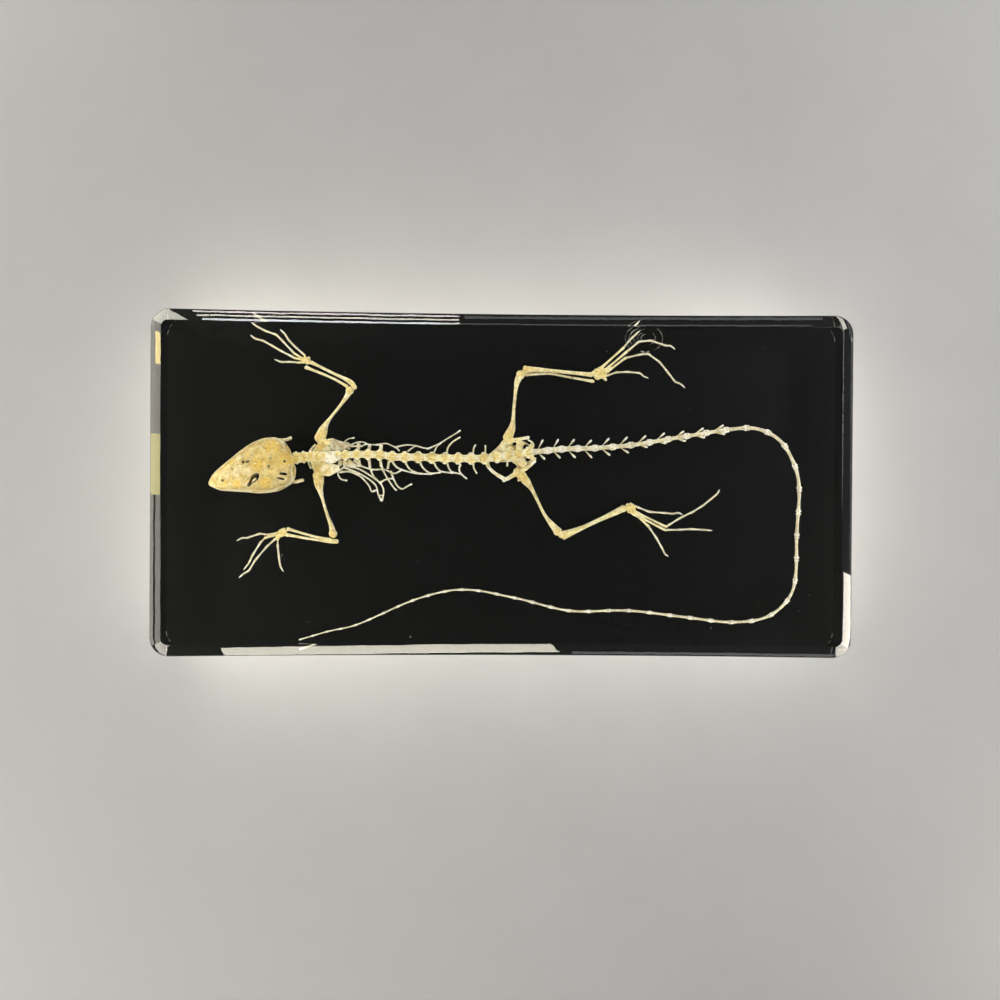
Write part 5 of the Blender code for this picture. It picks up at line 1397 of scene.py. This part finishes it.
def floor_material():
    made, tree, shader = new_material("pale_floor")
    grained(tree, shader, add_noise(tree, 30.0, 4.0), ((0.3, (0.8, 0.79, 0.77)), (0.7, (0.84, 0.83, 0.81))),
            "Roughness", 0.75, 0.85)
    return made


def make_floor():
    form = Form()
    bmesh.ops.create_grid(form.mesh, x_segments=24, y_segments=24, size=3.0)
    floor = linked("studio_floor", form.finished_mesh("studio_floor"))
    floor.data.materials.append(floor_material())


def make_lamp(name, place, aim, size, watts, colour, roll=0.0, soft=False):
    """an area light; those that are not soft only show in the polish of the block"""
    data = bpy.data.lights.new(name, "AREA")
    data.shape = "RECTANGLE"
    data.size = size[0] * MM
    data.size_y = size[1] * MM
    data.energy = watts
    data.color = colour
    lamp = bpy.data.objects.new(name, data)
    lamp.location = Vector(place) * MM
    lamp.rotation_euler = (Vector(aim) - Vector(place)).to_track_quat("-Z", "Y").to_euler()
    lamp.rotation_euler.rotate_axis("Z", math.radians(roll))
    lamp.visible_camera = False
    lamp.visible_diffuse = soft
    bpy.context.scene.collection.objects.link(lamp)


def make_studio():
    make_floor()
    for lamp in MIRRORED_LAMPS:
        make_lamp(*lamp)
    for lamp in SOFTBOXES:
        make_lamp(*lamp, soft=True)
    world = bpy.data.worlds.new("studio")
    world.use_nodes = True
    tree = world.node_tree
    background = tree.nodes["Background"]
    direction = add_node(tree, "ShaderNodeTexCoord").outputs["Generated"]
    height = add_node(tree, "ShaderNodeSeparateXYZ", ((0, direction),)).outputs["Z"]
    tree.links.new(add_ramp(tree, height, SKY_STOPS), background.inputs["Color"])
    background.inputs["Strength"].default_value = SKY_STRENGTH
    bpy.context.scene.world = world


def make_camera():
    data = bpy.data.cameras.new("camera")
    data.lens = CAMERA_LENS
    data.sensor_width = CAMERA_SENSOR
    data.clip_start = CAMERA_NEAR
    camera = bpy.data.objects.new("camera", data)
    camera.location = Vector(CAMERA_PLACE) * MM
    camera.rotation_euler = [math.radians(turn) for turn in CAMERA_TURN]
    bpy.context.scene.collection.objects.link(camera)
    bpy.context.scene.camera = camera


skull_finish = bone_material("mottled_skull")
limb_finish = bone_material("cream_bone")
gristle_finish = bone_material("grey_gristle")
thin_finish = bone_material("pale_bone")
make_skull(skull_finish)
make_splint(skull_finish)
make_jaw(skull_finish)
make_spine(limb_finish)
make_ribs(thin_finish)
make_tail(thin_finish)
make_limb_bones(limb_finish)
make_feet(thin_finish, limb_finish)
make_shoulders(limb_finish)
make_shoulder_gristle(gristle_finish)
make_breastbone(limb_finish)
make_pelvis(limb_finish)
make_block(acrylic_material())
make_swirl(resin_material())
make_bubbles(air_material())
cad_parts["backing_layer"].material_slots[0].material = backing_material()
make_studio()
make_camera()
scene = bpy.context.scene
scene.view_settings.view_transform = "Standard"
